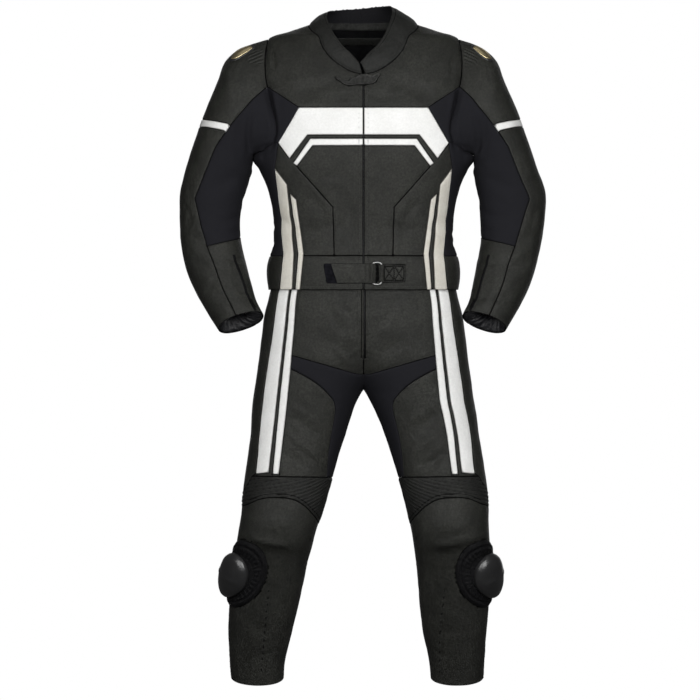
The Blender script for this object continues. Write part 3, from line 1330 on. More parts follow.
# %% Knit, lining, tape, thread, metal and plastic
def ribbed_cloth(name, tone, crest, pitch, across=True, rough=0.9, relief=0.0008):
    """A knit with fine ribs a pitch apart, and loops along them."""
    made = Finish(name, Specular_IOR_Level=0.16)
    split = made.node("ShaderNodeSeparateXYZ", (), {0: made.attribute("cloth", "Vector")}, 1 if across else 0)
    other = made.node("ShaderNodeSeparateXYZ", (), {0: made.attribute("cloth", "Vector")}, 0 if across else 1)
    wander = made.noise(0.05, 2.0) * 0.9
    rib = ((split * (6.2832 / pitch) + wander).sine() * 0.5 + 0.5) ** 0.8
    loops = (other * (6.2832 / 0.0011)).sine() * 0.5 + 0.5
    colour = made.mix(rib * 0.75 + made.noise(0.03, 3.0) * 0.25, tone, crest)
    made.feed(Base_Color=colour, Roughness=rough - rib * 0.08)
    made.bump(rib * 0.8 + loops * 0.2, relief, 0.8)
    return made.material


def plain_cloth(name, tone, light, rough, fold=0.001, shine=0.4):
    """A woven lining or tape: tiny crossing threads and soft crumples."""
    made = Finish(name, Specular_IOR_Level=shine)
    colour = made.mix(made.noise(0.012, 4.0).between(0.35, 0.65), tone, light)
    made.feed(Base_Color=colour, Roughness=made.noise(0.01, 2.0) * 0.14 + (rough - 0.07))
    made.bump(made.noise(0.009, 5.0, 0.6) * 0.8 + made.cells(0.0007) * 0.2, fold, 0.8)
    return made.material


def thread_cloth(name, tone, light):
    """Sewing thread: a twisted strand with a faint sheen."""
    made = Finish(name, Specular_IOR_Level=0.4)
    made.feed(Base_Color=made.mix(made.noise(0.0015, 2.0), tone, light),
              Roughness=made.noise(0.002, 1.0) * 0.15 + 0.5)
    made.bump(made.noise(0.0006, 1.0), 0.0002)
    return made.material


def metal(name, tone, light, rough, brushed=0.0002):
    """Plated metal with fine scratches and slightly uneven gloss."""
    made = Finish(name)
    stretched = made.node("ShaderNodeMapping", (), {"Vector": made.place(), "Scale": (60, 60, 900)})
    lines = made.node("ShaderNodeTexNoise", (), {"Vector": stretched, "Scale": 1.0, "Detail": 3.0})
    made.feed(Base_Color=made.mix(made.noise(0.006, 3.0), tone, light),
              Metallic=made.noise(0.004, 3.0).between(0.05, 0.3) * 0.1 + 0.9,
              Roughness=lines * 0.18 + (rough - 0.09))
    made.bump(lines, brushed, 0.5)
    return made.material


def moulded(name, tone, light, rough):
    """Moulded plastic: an almost smooth skin with faint flow marks and scuffs."""
    made = Finish(name, Specular_IOR_Level=0.6)
    scuffs = made.noise(0.0025, 5.0).between(0.58, 0.72)
    made.feed(Base_Color=made.mix(made.noise(0.02, 3.0), tone, light),
              Roughness=made.noise(0.015, 3.0) * 0.1 + scuffs * 0.16 + (rough - 0.05))
    made.bump(made.noise(0.012, 2.0), 0.0006, 0.6)
    return made.material


STRETCH = ribbed_cloth("stretch_cloth", (0.007, 0.007, 0.009, 1), (0.011, 0.011, 0.014, 1), 0.0017,
                       relief=0.0003)
COLLAR_KNIT = ribbed_cloth("collar_knit", (0.002, 0.002, 0.0026, 1), (0.011, 0.011, 0.013, 1), 0.003,
                           across=False)
LINING = plain_cloth("lining", (0.0025, 0.0025, 0.0032, 1), (0.006, 0.006, 0.0068, 1), 0.75, 0.001, 0.12)
GLOSSY_LINING = plain_cloth("glossy_lining", (0.004, 0.004, 0.006, 1), (0.026, 0.026, 0.028, 1), 0.34,
                            0.0024, 0.45)
TAPE = plain_cloth("zip_tape", (0.0018, 0.0018, 0.0022, 1), (0.004, 0.004, 0.0046, 1), 0.8, 0.0005, 0.12)
HOOK_TAPE = plain_cloth("hook_tape", (0.0016, 0.0016, 0.003, 1), (0.006, 0.006, 0.0085, 1), 0.92,
                        0.0014, 0.12)
BLACK_THREAD = thread_cloth("black_thread", (0.02, 0.02, 0.019, 1), (0.046, 0.046, 0.042, 1))
WHITE_THREAD = thread_cloth("white_thread", (0.66, 0.65, 0.62, 1), (0.84, 0.83, 0.8, 1))
DARK_METAL = metal("dark_metal", (0.008, 0.008, 0.009, 1), (0.022, 0.022, 0.022, 1), 0.46)
BRIGHT_METAL = metal("bright_metal", (0.26, 0.26, 0.26, 1), (0.42, 0.42, 0.41, 1), 0.3)
BRASS = metal("brushed_brass", (0.52, 0.43, 0.24, 1), (0.7, 0.6, 0.38, 1), 0.36)
PUCK = moulded("puck_plastic", (0.012, 0.012, 0.0125, 1), (0.022, 0.022, 0.0225, 1), 0.3)
MATERIALS = {"black_leather": BLACK_LEATHER, "white_leather": WHITE_LEATHER, "pale_leather": PALE_LEATHER,
             "stretch_cloth": STRETCH, "zip_tape": TAPE}
print("finishes:", len(bpy.data.materials))

# %% [markdown]
# ## Laying the panels
#
# The panels of both sides are laid in the air and welded where they share a point, so the normals run
# on across each seam. The outer skin moves by all of the relief, the inner one by the folds alone. Each
# panel is then cut free again as a closed shell, and its edge sinks a little so the seam shows.

# %% Lay and weld
KIND_OF = {"chest_band": "white_leather", "chest_line": "white_leather", "sleeve_band": "white_leather",
           "leg_stripe_wide": "white_leather", "leg_stripe_thin": "white_leather",
           "stripe_wide": "pale_leather", "stripe_thin": "pale_leather",
           "chest_stretch": "stretch_cloth", "side_stretch": "stretch_cloth",
           "sleeve_stretch": "stretch_cloth", "crotch_stretch": "stretch_cloth",
           "knee_band": "stretch_cloth", "fly_zip": "zip_tape"}
CENTRE = {"back", "waist_back", "crotch_stretch", "fly_zip"}
SIDE_WORD = {RIGHT: "_right", LEFT: "_left"}
SHIFT = np.array([0, 0, -SHOULDER_HEIGHT])


def normals_of(places, triangles):
    """Vertex normals, weighted by area."""
    corners = places[triangles]
    face = np.cross(corners[:, 1] - corners[:, 0], corners[:, 2] - corners[:, 0])
    total = np.zeros_like(places)
    for i in range(3):
        np.add.at(total, triangles[:, i], face)
    return unit(total, 1e-12)


def lay_cloth(forms):
    """The panels of some forms on both sides, welded, with both skins."""
    places, folds, fines, nears, triangles, names, cloth = [], [], [], [], [], [], []
    first = 0
    for form in forms:
        cut = CUTS[form.name]
        used = np.unique(cut["triangles"])
        place_of = np.full(len(cut["spots"]), -1)
        place_of[used] = np.arange(len(used))
        spots = cut["spots"][used]
        for side in (RIGHT, LEFT):
            laid = form.places(spots, side)
            laid[np.abs(laid[:, 0]) < MIDDLE_REACH, 0] = 0
            fold, fine, near = relief(form, side, spots, laid)
            turned = place_of[cut["triangles"]]
            if side * form.sign < 0:
                turned = turned[:, ::-1]
            triangles.append(turned + first)
            names += [name if name in CENTRE else name + SIDE_WORD[side] for name in cut["panels"]]
            cloth.append(spots[turned])
            places.append(laid), folds.append(fold), fines.append(fine), nears.append(near)
            first += len(laid)
    places, folds, fines = np.concatenate(places), np.concatenate(folds), np.concatenate(fines)
    nears, triangles, names = np.concatenate(nears), np.concatenate(triangles), np.array(names)
    weld = np.arange(len(places))
    tree = tree_of(places)
    for number in range(len(places)):
        if weld[number] == number:
            for _, other, _ in tree.find_range(places[number], WELD_REACH):
                if other > number:
                    weld[other] = number
    count = np.bincount(weld, minlength=len(places)).astype(float)
    folds = np.bincount(weld, folds, len(places)) / np.maximum(count, 1)
    fines = np.bincount(weld, fines, len(places)) / np.maximum(count, 1)
    triangles = weld[triangles]
    return {"places": places, "folds": folds, "fines": fines, "nears": nears[weld], "names": names,
            "triangles": triangles, "cloth": np.concatenate(cloth), "normals": normals_of(places, triangles)}


JACKET = lay_cloth((BODY, ARM))
TROUSERS = lay_cloth((HALF,))
print("jacket", len(JACKET["triangles"]), "trousers", len(TROUSERS["triangles"]), "triangles a skin")


# %% Make a mesh object, and cut a panel free
def make_piece(name, verts, faces, materials, face_material=None, smooth_faces=True, near=None):
    """A mesh object from arrays, placed in the frame. near says how near a seam its points are."""
    mesh = bpy.data.meshes.new(name)
    mesh.from_pydata([tuple(vert) for vert in np.asarray(verts) + SHIFT], [], [tuple(f) for f in faces])
    for material in materials:
        mesh.materials.append(material)
    if face_material is not None:
        mesh.polygons.foreach_set("material_index", np.asarray(face_material, dtype=np.int32))
    if smooth_faces:
        mesh.shade_smooth()
    made = bpy.data.objects.new(name, mesh)
    bpy.context.scene.collection.objects.link(made)
    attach(made, "root")
    if near is not None:
        put_values(mesh, "near", "FLOAT", near)
    return made


def rim_of(triangles):
    """The open edges of some triangles, in the triangles' own direction."""
    edges = np.concatenate([triangles[:, [0, 1]], triangles[:, [1, 2]], triangles[:, [2, 0]]])
    size = int(triangles.max()) + 1
    keys = edges[:, 0].astype(np.int64) * size + edges[:, 1]
    back = edges[:, 1].astype(np.int64) * size + edges[:, 0]
    return edges[~np.isin(keys, back)]


def shell_faces(triangles, rim, count):
    """The faces of two skins of as many points each, and of the walls between them at the rim."""
    faces = [tuple(face) for face in triangles] + [tuple(face[::-1] + count) for face in triangles]
    return faces + [(a, a + count, b + count, b) for a, b in rim]


def put_values(mesh, name, kind, values, domain="POINT"):
    layer = mesh.attributes.get(name) or mesh.attributes.new(name, kind, domain)
    field = "vector" if kind == "FLOAT_VECTOR" else "value"
    layer.data.foreach_set(field, np.asarray(values, np.float32).ravel())


def cut_free(cloth, node):
    """One panel as a closed shell of two skins and a rim."""
    chosen = cloth["names"] == node
    triangles = cloth["triangles"][chosen]
    used, compact = np.unique(triangles, return_inverse=True)
    compact = compact.reshape(triangles.shape)
    places, normals = cloth["places"][used], cloth["normals"][used]
    rim = rim_of(compact)
    pull = np.zeros_like(places)
    run = places[rim[:, 1]] - places[rim[:, 0]]
    inward = unit(np.cross(normals[rim[:, 0]], run))
    for i in (0, 1):
        np.add.at(pull, rim[:, i], inward)
    edge = np.linalg.norm(pull, axis=1) > 0.1
    pull[edge] *= EDGE_SINK / np.linalg.norm(pull[edge], axis=1)[:, None]
    pull[np.abs(places[:, 0]) < MIDDLE_REACH] = 0        # the centre seams stay shut
    high, low = cloth["folds"][used] + cloth["fines"][used], cloth["folds"][used] - WALL
    outer = places + pull + normals * high[:, None]
    inner = places + pull + normals * low[:, None]
    kind = KIND_OF.get(node.removesuffix("_left").removesuffix("_right"), "black_leather")
    materials = [0] * len(compact) + [1] * len(compact) + [0] * len(rim)
    skin = RIBBED_LEATHER if node.startswith("knee_band") else MATERIALS[kind]
    faces = shell_faces(compact, rim, len(used))
    piece = make_piece(node + "_panel", np.vstack([outer, inner]), faces, [skin, LINING], materials)
    for name in ("near", "fold", "fine"):
        put_values(piece.data, name, "FLOAT", np.tile(cloth[name + "s"][used], 2))
    flat_spots = cloth["cloth"][chosen]
    loops = np.concatenate([flat_spots, flat_spots[:, ::-1]]).reshape(-1, 2)
    loops = np.vstack([loops, np.zeros((4 * len(rim), 2))])
    put_values(piece.data, "cloth", "FLOAT_VECTOR", np.hstack([loops, np.zeros((len(loops), 1))]), "CORNER")
    corners = places[compact]
    edges = corners[:, 1:] - corners[:, :1]
    area = np.linalg.norm(np.cross(edges[:, 0], edges[:, 1]), axis=1).sum() / 2
    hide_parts(node)
    size = flat_size(flat_spots, area, node)
    "stretched" if kind == "stretch_cloth" else "hung"
    return piece, size, area


def flat_size(flat_spots, area, node):
    """The smallest box, in metres, that holds a panel's cut on the flat."""
    spots = flat_spots.reshape(-1, 2).copy()
    wraps = (spots[:, 0] > 0.5 * LEG_GIRTH) & (node.startswith(("crotch", "knee")))
    spots[wraps, 0] -= LEG_GIRTH
    edge = flat_spots[:, 1:] - flat_spots[:, :1]
    drawn = np.abs(edge[:, 0, 0] * edge[:, 1, 1] - edge[:, 0, 1] * edge[:, 1, 0]).sum() / 2
    spots[:, 0] *= area / drawn
    best = None
    for angle in np.radians(np.arange(0, 90, 3)):
        turned = spots @ np.array([[np.cos(angle), -np.sin(angle)], [np.sin(angle), np.cos(angle)]])
        width, length = np.ptp(turned, axis=0)
        if best is None or width * length < best[0] * best[1]:
            best = (width, length)
    width, length = best
    if area < 0.31 * width * length:     # a narrow bent strip, cut straight in runs that are mitred
        length = width + length
        width = 1.08 * area / length
    grown = max(1.0, 1.02 * area / (width * length)) ** 0.5
    return float(width * grown), float(length * grown)


for cloth in (JACKET, TROUSERS):
    for node in sorted(set(cloth["names"])):
        if node == "fly_zip":
            continue
        piece, size, area = cut_free(cloth, node)
        print(f"{node}: cut {size[0] * 1000:.0f} x {size[1] * 1000:.0f} mm, {area * 1e4:.0f} cm2,",
              len(piece.data.polygons), "faces")

# %% [markdown]
# ## Tools for trims
#
# Trims are sewn on top of the panels or along their edges. Three helpers make most of them: one sweeps a
# small profile along a run of the cloth, one lays a soft-edged patch on it, and one strews a small shape,
# such as a stitch or a zip tooth, along a run. All three ask the cloth's relief how high they lie.

# %% Heights, swept profiles and patches
def on_cloth(form, side, spots, up=0.0, seams=0.0):
    """Places over the cloth at spots, and the way out of it. seams is the share of the seams' relief."""
    places = form.places(spots, side)
    folds, fine, _ = relief(form, side, spots, places)
    out = form.normals(spots, side)
    return places + out * (folds + seams * fine + up)[:, None], out


def grid_faces(rows, count, open_rows=False):
    """The faces of a grid of points that closes from its last row to its first, and round each row."""
    index = np.arange(rows * count).reshape(rows, count)
    after, under = np.roll(index, -1, axis=1), np.roll(index, -1, axis=0)
    quads = np.stack([index, after, np.roll(after, -1, axis=0), under], axis=-1)
    if open_rows:
        quads = quads[:, :-1]
    return [tuple(face) for face in quads.reshape(-1, 4)]


def swept(form, side, spots, profile):
    """Verts and faces of a closed profile, as pairs of across and up, swept along a run."""
    rings = []
    for across, up in profile:
        beside = form.beside(spots, across, side) if across else spots
        rings.append(on_cloth(form, side, beside, up)[0])
    grid = np.stack(rings, axis=1)
    around = len(profile)
    index = np.arange(grid[..., 0].size).reshape(-1, around)
    ends = [tuple(index[0][::-1]), tuple(index[-1])]
    return grid.reshape(-1, 3), grid_faces(*index.shape)[:-around] + ends


def facing_out(verts, faces):
    """The faces, turned round if the shape that they close is inside out."""
    volume = 0.0
    centre = verts.mean(axis=0)
    for face in faces:
        corner = verts[list(face)] - centre
        for i in range(1, len(face) - 1):
            volume += corner[0] @ np.cross(corner[i], corner[i + 1])
    return faces if volume > 0 else [tuple(face[::-1]) for face in faces]


def joined(parts):
    """Several (verts, faces) as one."""
    verts, faces, first = [], [], 0
    for part_verts, part_faces in parts:
        verts.append(part_verts)
        faces += [tuple(i + first for i in face) for face in part_faces]
        first += len(part_verts)
    return np.concatenate(verts), faces


def inside(outline, points):
    """Which points lie inside a closed outline."""
    found = np.zeros(len(points), bool)
    for start, end in zip(outline, np.roll(outline, -1, axis=0)):
        crosses = (start[1] > points[:, 1]) != (end[1] > points[:, 1])
        rise = end[1] - start[1] if end[1] != start[1] else 1e-12
        found ^= crosses & (points[:, 0] < start[0] + (points[:, 1] - start[1]) / rise * (end[0] - start[0]))
    return found


def resampled(form, side, spots, gap):
    """A closed outline with points an even gap apart in the air."""
    loop = np.vstack([spots, spots[:1]])
    shares = np.linspace(0, 1, 12)[:-1, None]
    fine = np.concatenate([a + (b - a) * shares for a, b in zip(loop[:-1], loop[1:])] + [loop[:1]])
    lengths = measured(form.places(fine, side))
    at = np.linspace(0, lengths[-1], max(8, int(lengths[-1] / gap)) + 1)[:-1]
    return read_along(at, lengths, fine)


def patch(form, side, outline, top, gap, lift):
    """A closed patch on the cloth inside an outline. top(gap to the edge, spots) gives its thickness."""
    edge = resampled(form, side, outline, gap)
    loop = np.vstack([edge, edge[:1], edge[1:2]])
    rows = []
    for inset in (0.0008, 0.002, 0.0034):
        for way in (-1, 1):
            beside = form.beside(loop, way * inset, side)[1:-1]
            rows.append(beside[inside(edge, beside)])
    low, high = edge.min(axis=0), edge.max(axis=0)
    rows.append(rows_over(form, low[0] / form.girth, high[0] / form.girth, low[1], high[1], gap))
    inner = np.concatenate(rows)
    inner = inner[inside(edge, inner)]
    inner = inner[clear_of(tree_of(form.places(edge, side)), form.places(inner, side), 0.0006)]
    inner = inner[thinned(form.places(inner, side), 0.0011)]
    points = np.vstack([edge, inner])
    rim = [(i, (i + 1) % len(edge)) for i in range(len(edge))]
    spots, _, faces, _, _, _ = delaunay_2d_cdt([Vector(point) for point in points], rim, [], 0, 1e-7)
    spots = np.array([tuple(spot) for spot in spots])
    triangles = np.array([tuple(face) for face in faces])
    triangles = triangles[inside(edge, spots[triangles].mean(axis=1))]
    trace = Trace(form, np.vstack([edge, edge[:1]]), side, 0.0007)
    places = form.places(spots, side)
    tree = tree_of(trace.places)
    away = np.array([tree.find(place)[2] for place in places])
    away[:len(edge)] = 0
    base, out = on_cloth(form, side, spots, lift)
    verts = np.vstack([base + out * top(away, spots)[:, None], base])
    faces = shell_faces(triangles, rim_of(triangles), len(spots))
    return verts, facing_out(verts, faces), np.tile(away, 2)


def strap_top(thick, stitched=0.0026, roll=0.0011):
    """Thickness of a leather piece with a rolled edge and a sewn groove beside it."""
    def top(away, spots):
        rounded = np.sqrt(np.clip(1 - (1 - ramp(away, 0, roll)) ** 2, 0, 1))
        groove = 0.00045 * bell(away, stitched, 0.0007) if stitched else 0
        return thick * (0.3 + 0.7 * rounded) - groove
    return top


# %% Strewing stitches and teeth
def strewn(places, ahead, out, verts, faces):
    """Copies of a small shape, whose x runs ahead and whose z stands out."""
    ahead = unit(ahead - (ahead * out).sum(axis=1)[:, None] * out)
    across = np.cross(out, ahead)
    verts = np.array(verts, float)
    laid = (places[:, None] + verts[:, 0, None] * ahead[:, None] + verts[:, 1, None] * across[:, None]
            + verts[:, 2, None] * out[:, None])
    first = np.arange(len(places)) * len(verts)
    faces_all = [tuple(i + start for i in face) for start in first for face in faces]
    return laid.reshape(-1, 3), faces_all


STITCH, GAP_BETWEEN = 0.0031, 0.0043
THREAD = 0.00034
STITCH_VERTS = [(-STITCH / 2, 0, -0.0004), (STITCH / 2, 0, -0.0004)]
for x in (-0.28 * STITCH, 0.28 * STITCH):
    STITCH_VERTS += [(x, -THREAD, 0), (x, 0, -THREAD), (x, THREAD, 0), (x, 0, THREAD)]
STITCH_FACES = [(0, 3, 2), (0, 4, 3), (0, 5, 4), (0, 2, 5), (1, 6, 7), (1, 7, 8), (1, 8, 9), (1, 9, 6),
                (2, 3, 7, 6), (3, 4, 8, 7), (4, 5, 9, 8), (5, 2, 6, 9)]
STITCHES = {}      # (garment, thread): parts


def walk(form, side, spots, pitch):
    """Spots an even pitch apart along a run, and the direction of the run there."""
    lengths = measured(form.places(spots, side))
    count = int(lengths[-1] / pitch)
    if count < 2:
        return spots[:0], spots[:0]
    at = (np.arange(count) + 0.5) / count * lengths[-1]
    found, later = read_along(at, lengths, spots), read_along(at + 0.0008, lengths, spots)
    return found, form.places(later, side) - form.places(found, side)


def sew(garment, thread, form, side, spots, up=0.0, height=None):
    """A row of stitches along a run, laid over the cloth or over a patch on it."""
    at, ahead = walk(form, side, spots, GAP_BETWEEN)
    if not len(at):
        return
    places, out = on_cloth(form, side, at, up, 1.0 if height is None else 0.0)
    if height is not None:
        places = places + out * height
    STITCHES.setdefault((garment, thread), []).append(
        strewn(places, ahead, out, STITCH_VERTS, STITCH_FACES))


CENTRES = {}
for form in (BODY, ARM, HALF):
    cut = CUTS[form.name]
    middles = cut["spots"][cut["triangles"]].mean(axis=1)
    CENTRES[form.name] = tree_of(np.column_stack([middles, np.zeros(len(middles))]))
print("tools ready")


# %% [markdown]
# ## Sewing the seams
#
# A leather seam is folded open, and each side is stitched down again from the outside, so two rows of
# thread run beside it. Nothing is stitched where the cloth is stretchy. White leather has pale thread.

# %% Rows of thread beside every seam
def panel_at(form, spots):
    names = CUTS[form.name]["panels"]
    found = [CENTRES[form.name].find((*spot, 0)) for spot in spots]
    return np.array([names[number] if gap < 0.0055 else "" for _, number, gap in found])


ROWS_OF = {"seam": (-0.0027, 0.0027), "dart": (-0.0018, 0.0018), "edge": (-0.007, 0.007),
           "lip": (-0.008, 0.008)}
GARMENT = {"torso": "jacket_body", "sleeve": "sleeve", "leg": "trousers"}
PALE, UNSEWN = ("white_leather", "pale_leather"), ("", "stretch_cloth", "zip_tape")
for form in (BODY, ARM, HALF):
    for side in (RIGHT, LEFT):
        _, runs = TRACES[form.name, side]
        for trace, kind in runs:
            for gap in ROWS_OF.get(kind, ()):
                beside = form.beside(trace.spots[::3], gap, side)
                at, ahead = walk(form, side, beside, GAP_BETWEEN)
                if not len(at):
                    continue
                places = form.places(at, side)
                folds, fine, near = relief(form, side, at, places)
                panels = panel_at(form, at)
                kinds = np.array([KIND_OF.get(panel, "black_leather") if panel else "" for panel in panels])
                good = (near > 0.86 * abs(gap)) & ~np.isin(kinds, UNSEWN)
                out = form.normals(at, side)
                over = places + out * (folds + fine + 0.00005)[:, None]
                for thread, chosen in (("white", np.isin(kinds, PALE)), ("black", ~np.isin(kinds, PALE))):
                    pick = good & chosen
                    if pick.any():
                        key = (GARMENT[form.name] + (SIDE_WORD[side] if form is not BODY else ""), thread)
                        STITCHES.setdefault(key, []).append(
                            strewn(over[pick], ahead[pick], out[pick], STITCH_VERTS, STITCH_FACES))
print({key: sum(len(part[1]) for part in parts) for key, parts in STITCHES.items()})

# %% [markdown]
# ## Collar
#
# A race suit has a low round collar, open at the throat. It is a soft padded wall that stands on the
# neckline. Inside, its upper back is a ribbed knit that doesn't chafe, over a leather facing.

# %% Collar wall
neck = CUTS["torso"]["lines"][0]["points"]
neck_places = BODY.places(neck, LEFT)
foot_run = neck_places[neck_places[:, 0] > 0.0012]
foot_run = np.vstack([foot_run, [[0, *neck_places[-1, 1:]]]]) if foot_run[-1, 0] > 1e-4 else foot_run
lengths = measured(foot_run)
SHARES = np.linspace(0, 1, 70)
half_foot = read_along(SHARES * lengths[-1], lengths, foot_run)
half_top = np.stack([smooth(COLLAR_TOP, name, SHARES, "share") for name in ("x", "y", "height")], axis=-1)
shares = np.concatenate([SHARES, SHARES[-2::-1]])
COLLAR_TILT = 0.085
feet = np.concatenate([half_foot * [-1, 1, 1], half_foot[-2::-1]])
tops = np.concatenate([half_top * [-1, 1, 1], half_top[-2::-1]])


def run_length(places):
    """The whole length of a run, in metres."""
    return float(np.linalg.norm(np.diff(places, axis=0), axis=1).sum())


def collar_rows(ups):
    """Rows of the collar's outer face, each at a share of the way up."""
    rows = []
    for up in ups:
        row = feet * (1 - up) + tops * up
        row[:, 2] += COLLAR_BOW * np.sin(np.pi * np.clip(up, 0, 1))
        row[:, 0] += COLLAR_SHIFT * np.clip(up, 0, 1) * np.where(up == 0, np.abs(row[:, 0]) > MIDDLE_REACH, 1)
        rows.append(row)
    return np.stack(rows)


tops[:, 2] += COLLAR_TILT * tops[:, 0] * ramp(shares, 0.3, 0.25)
ups = np.concatenate([[-0.06, 0.0], np.linspace(0.04, 1, 25)])
outer = collar_rows(ups)
by_share, by_up = np.gradient(outer, axis=1), np.gradient(outer, axis=0)
out = unit(np.cross(by_share, by_up))
middle = len(shares) // 2
if out[len(ups) // 2, middle, 1] < 0:
    out = -out
flat_places = outer.reshape(-1, 3)
swell = 0.0007 * waves(flat_places, 20, 0.03, 0.07, 21) + 0.0003 * waves(flat_places, 20, 0.012, 0.02, 22)
swell = swell.reshape(outer.shape[:2])
pad = 0.0016 * np.sin(np.pi * np.clip(ups, 0, 1)) ** 0.6
sewn_line = 0.0006 * bell(ups, 0.87, 0.03)
settled = ramp(ups, 0, 0.15)[:, None]
skin = outer + out * (swell + 0.002 * settled + (pad - sewn_line)[:, None])[..., None]
knit = ramp(shares, 0.4, 0.05)
step_in = 0.0014 * ramp(ups, 0.24, 0.04)[:, None] * knit
puffs = 0.0022 * np.sin(shares * 95)[None] * bell(ups, 0.1, 0.12)[:, None] * knit
under = outer - out * (0.0034 - 0.002 * settled + 0.4 * pad[:, None] - step_in + puffs)[..., None]
crown = (skin[-1] + under[-1]) / 2 + [0, 0, 0.0017]
crown[:, 2] += knit * (0.0012 * np.sin(shares * 190) + 0.0009 * np.sin(shares * 317 + 1))
arch = [skin[-1] * 0.75 + under[-1] * 0.25 + [0, 0, 0.0012], crown,
        skin[-1] * 0.25 + under[-1] * 0.75 + [0, 0, 0.0012]]
loop = np.concatenate([skin, arch, under[::-1]])
rows, count = loop.shape[:2]
index = np.arange(rows * count).reshape(rows, count)
kinds = []
inner_ups = np.concatenate([ups, [1, 1, 1], ups[::-1]])
for row in range(rows):
    for i in range(count - 1):
        within = row >= len(ups) + 1
        at_knit = within and inner_ups[row] > 0.26 and knit[i] > 0.5
        kinds.append(1 if at_knit else 2 if within and inner_ups[row] < 0.26 and knit[i] < 0.5 else 0)
kinds += [0, 0]
verts = loop.reshape(-1, 3)
faces = grid_faces(rows, count, True) + [tuple(index[:, 0]), tuple(index[::-1, -1])]
faces = facing_out(verts, faces)
near = np.full((rows, count), 0.05)
near[:len(ups)] = np.minimum(np.abs(ups - 0.87), np.clip(ups, 0, 1) + 0.008)[:, None] * 0.045
collar = make_piece("collar_wall", verts, faces, [COLLAR_LEATHER, COLLAR_KNIT, LINING], kinds, near=near)
loops = np.concatenate([[(shares[i % count] * 0.33, inner_ups[i // count] * 0.05, 0) for i in face]
                        for face in faces])
put_values(collar.data, "cloth", "FLOAT_VECTOR", loops, "CORNER")
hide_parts("collar")
for up in (0.875, 0.83):
    row = int(np.argmin(np.abs(ups - up)))
    path = skin[row]
    steps = measured(path)
    at = np.arange(0.004, steps[-1] - 0.004, GAP_BETWEEN)
    places, ways = read_along(at, steps, path), read_along(at, steps, out[row])
    STITCHES.setdefault(("jacket_body", "black"), []).append(
        strewn(places, np.gradient(places, axis=0), ways, STITCH_VERTS, STITCH_FACES))

# %% [markdown]
# ## Front zip
#
# The zip lies under the two leather lips, on a woven tape, and only a thin line of teeth is seen. Teeth
# are cast on each tape edge in turn. Modelling each one is cheap, since one small shape is strewn.

# %% Tape and teeth
TOOTH = (0.0011, 0.0016, 0.0009)
BOX_CORNERS = [(x, y, z) for z in (-1, 1) for y in (-1, 1) for x in (-1, 1)]
TOOTH_VERTS = [(x * TOOTH[0] / 2, y * TOOTH[1] / 2, z * TOOTH[2] / 2 * (0.8 if x * y > 0 else 1))
               for x, y, z in BOX_CORNERS]
TOOTH_FACES = [(0, 2, 3, 1), (4, 5, 7, 6), (0, 1, 5, 4), (2, 6, 7, 3), (0, 4, 6, 2), (1, 3, 7, 5)]


def zip_parts(form, side, spots, depth):
    """Two tapes and their teeth along a run, a depth under the cloth."""
    tapes, teeth = [], []
    for way in (-1, 1):
        profile = [(way * 0.0004, -depth), (way * 0.008, -depth - 0.0003),
                   (way * 0.008, -depth - 0.001), (way * 0.0004, -depth - 0.0008)]
        tapes.append(swept(form, side, spots, profile))
        at, ahead = walk(form, side, form.beside(spots, way * 0.0006, side), 0.0026)
        places, out = on_cloth(form, side, at, -depth + 0.0003)
        shift = 0.0013 * (way > 0)
        ahead = unit(ahead)
        teeth.append(strewn(places + ahead * shift, ahead, out, TOOTH_VERTS, TOOTH_FACES))
    tapes = [(verts, facing_out(verts, faces)) for verts, faces in tapes]
    return joined(tapes), joined(teeth)


front_run = locate(BODY, [(0.0, z) for z in np.arange(0.9035, 1.3965, 0.006)])
front_run[:, 0] = 0
tape, teeth = zip_parts(BODY, LEFT, front_run, 0.0026)
tape_piece = make_piece("front_zip_tape", *tape, [TAPE], smooth_faces=False)
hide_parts("front_zip")
teeth_piece = make_piece("front_zip_teeth", *teeth, [DARK_METAL], smooth_faces=False)
print("front zip:", len(teeth[1]) // 6, "teeth")

# %% Facing inside the back of the neck
FACING_FOOT, FACING_TOP = 1.4674, 1.4858
facing_turns = np.concatenate([np.linspace(0.415, 0.5, 30), np.linspace(0.5, 0.415, 30)[1:]])
facing_sides = np.concatenate([np.full(30, LEFT), np.full(29, RIGHT)])
rows = []
for height in np.linspace(FACING_FOOT, FACING_TOP, 9):
    row = []
    for turn, side in zip(facing_turns, facing_sides):
        spot = np.array([[turn * TORSO_GIRTH, station_at(TORSO, height)]])
        share = (height - FACING_FOOT) / (FACING_TOP - FACING_FOOT)
        puff = 0.0016 * np.sin(np.pi * share) ** 0.5 + 0.0004 * np.sin(turn * 700 + side)
        row.append(BODY.places(spot, side)[0] - BODY.normals(spot, side)[0] * (WALL + 0.0022 + puff))
    rows.append(row)
grid = np.array(rows)
back_out = unit(np.cross(np.gradient(grid, axis=1), np.gradient(grid, axis=0)))
if back_out[4, 29, 1] < 0:
    back_out = -back_out
loop_rows = np.concatenate([grid, (grid + back_out * 0.001)[::-1]])
index = np.arange(loop_rows.shape[0] * loop_rows.shape[1]).reshape(loop_rows.shape[:2])
faces = grid_faces(*index.shape, True) + [tuple(index[:, 0]), tuple(index[::-1, -1])]
verts = loop_rows.reshape(-1, 3)
facing = make_piece("neck_facing_strip", verts, facing_out(verts, faces), [COLLAR_LEATHER],
                    near=np.full(len(verts), 0.01))

# %% Fly: leather placket, zip beside it, bar tack at its foot
fly_stations = station_at(LEG, np.arange(0.744, 0.942, 0.006))
fly_run = np.stack([centre_seam_turn(fly_stations, False) * LEG_GIRTH, fly_stations], axis=-1)


def fly_way():
    """Which way across the flat goes to the wearer's left."""
    test = HALF.beside(fly_run, 0.002, RIGHT)
    return 1 if HALF.places(test, RIGHT)[:, 0].mean() > 0 else -1


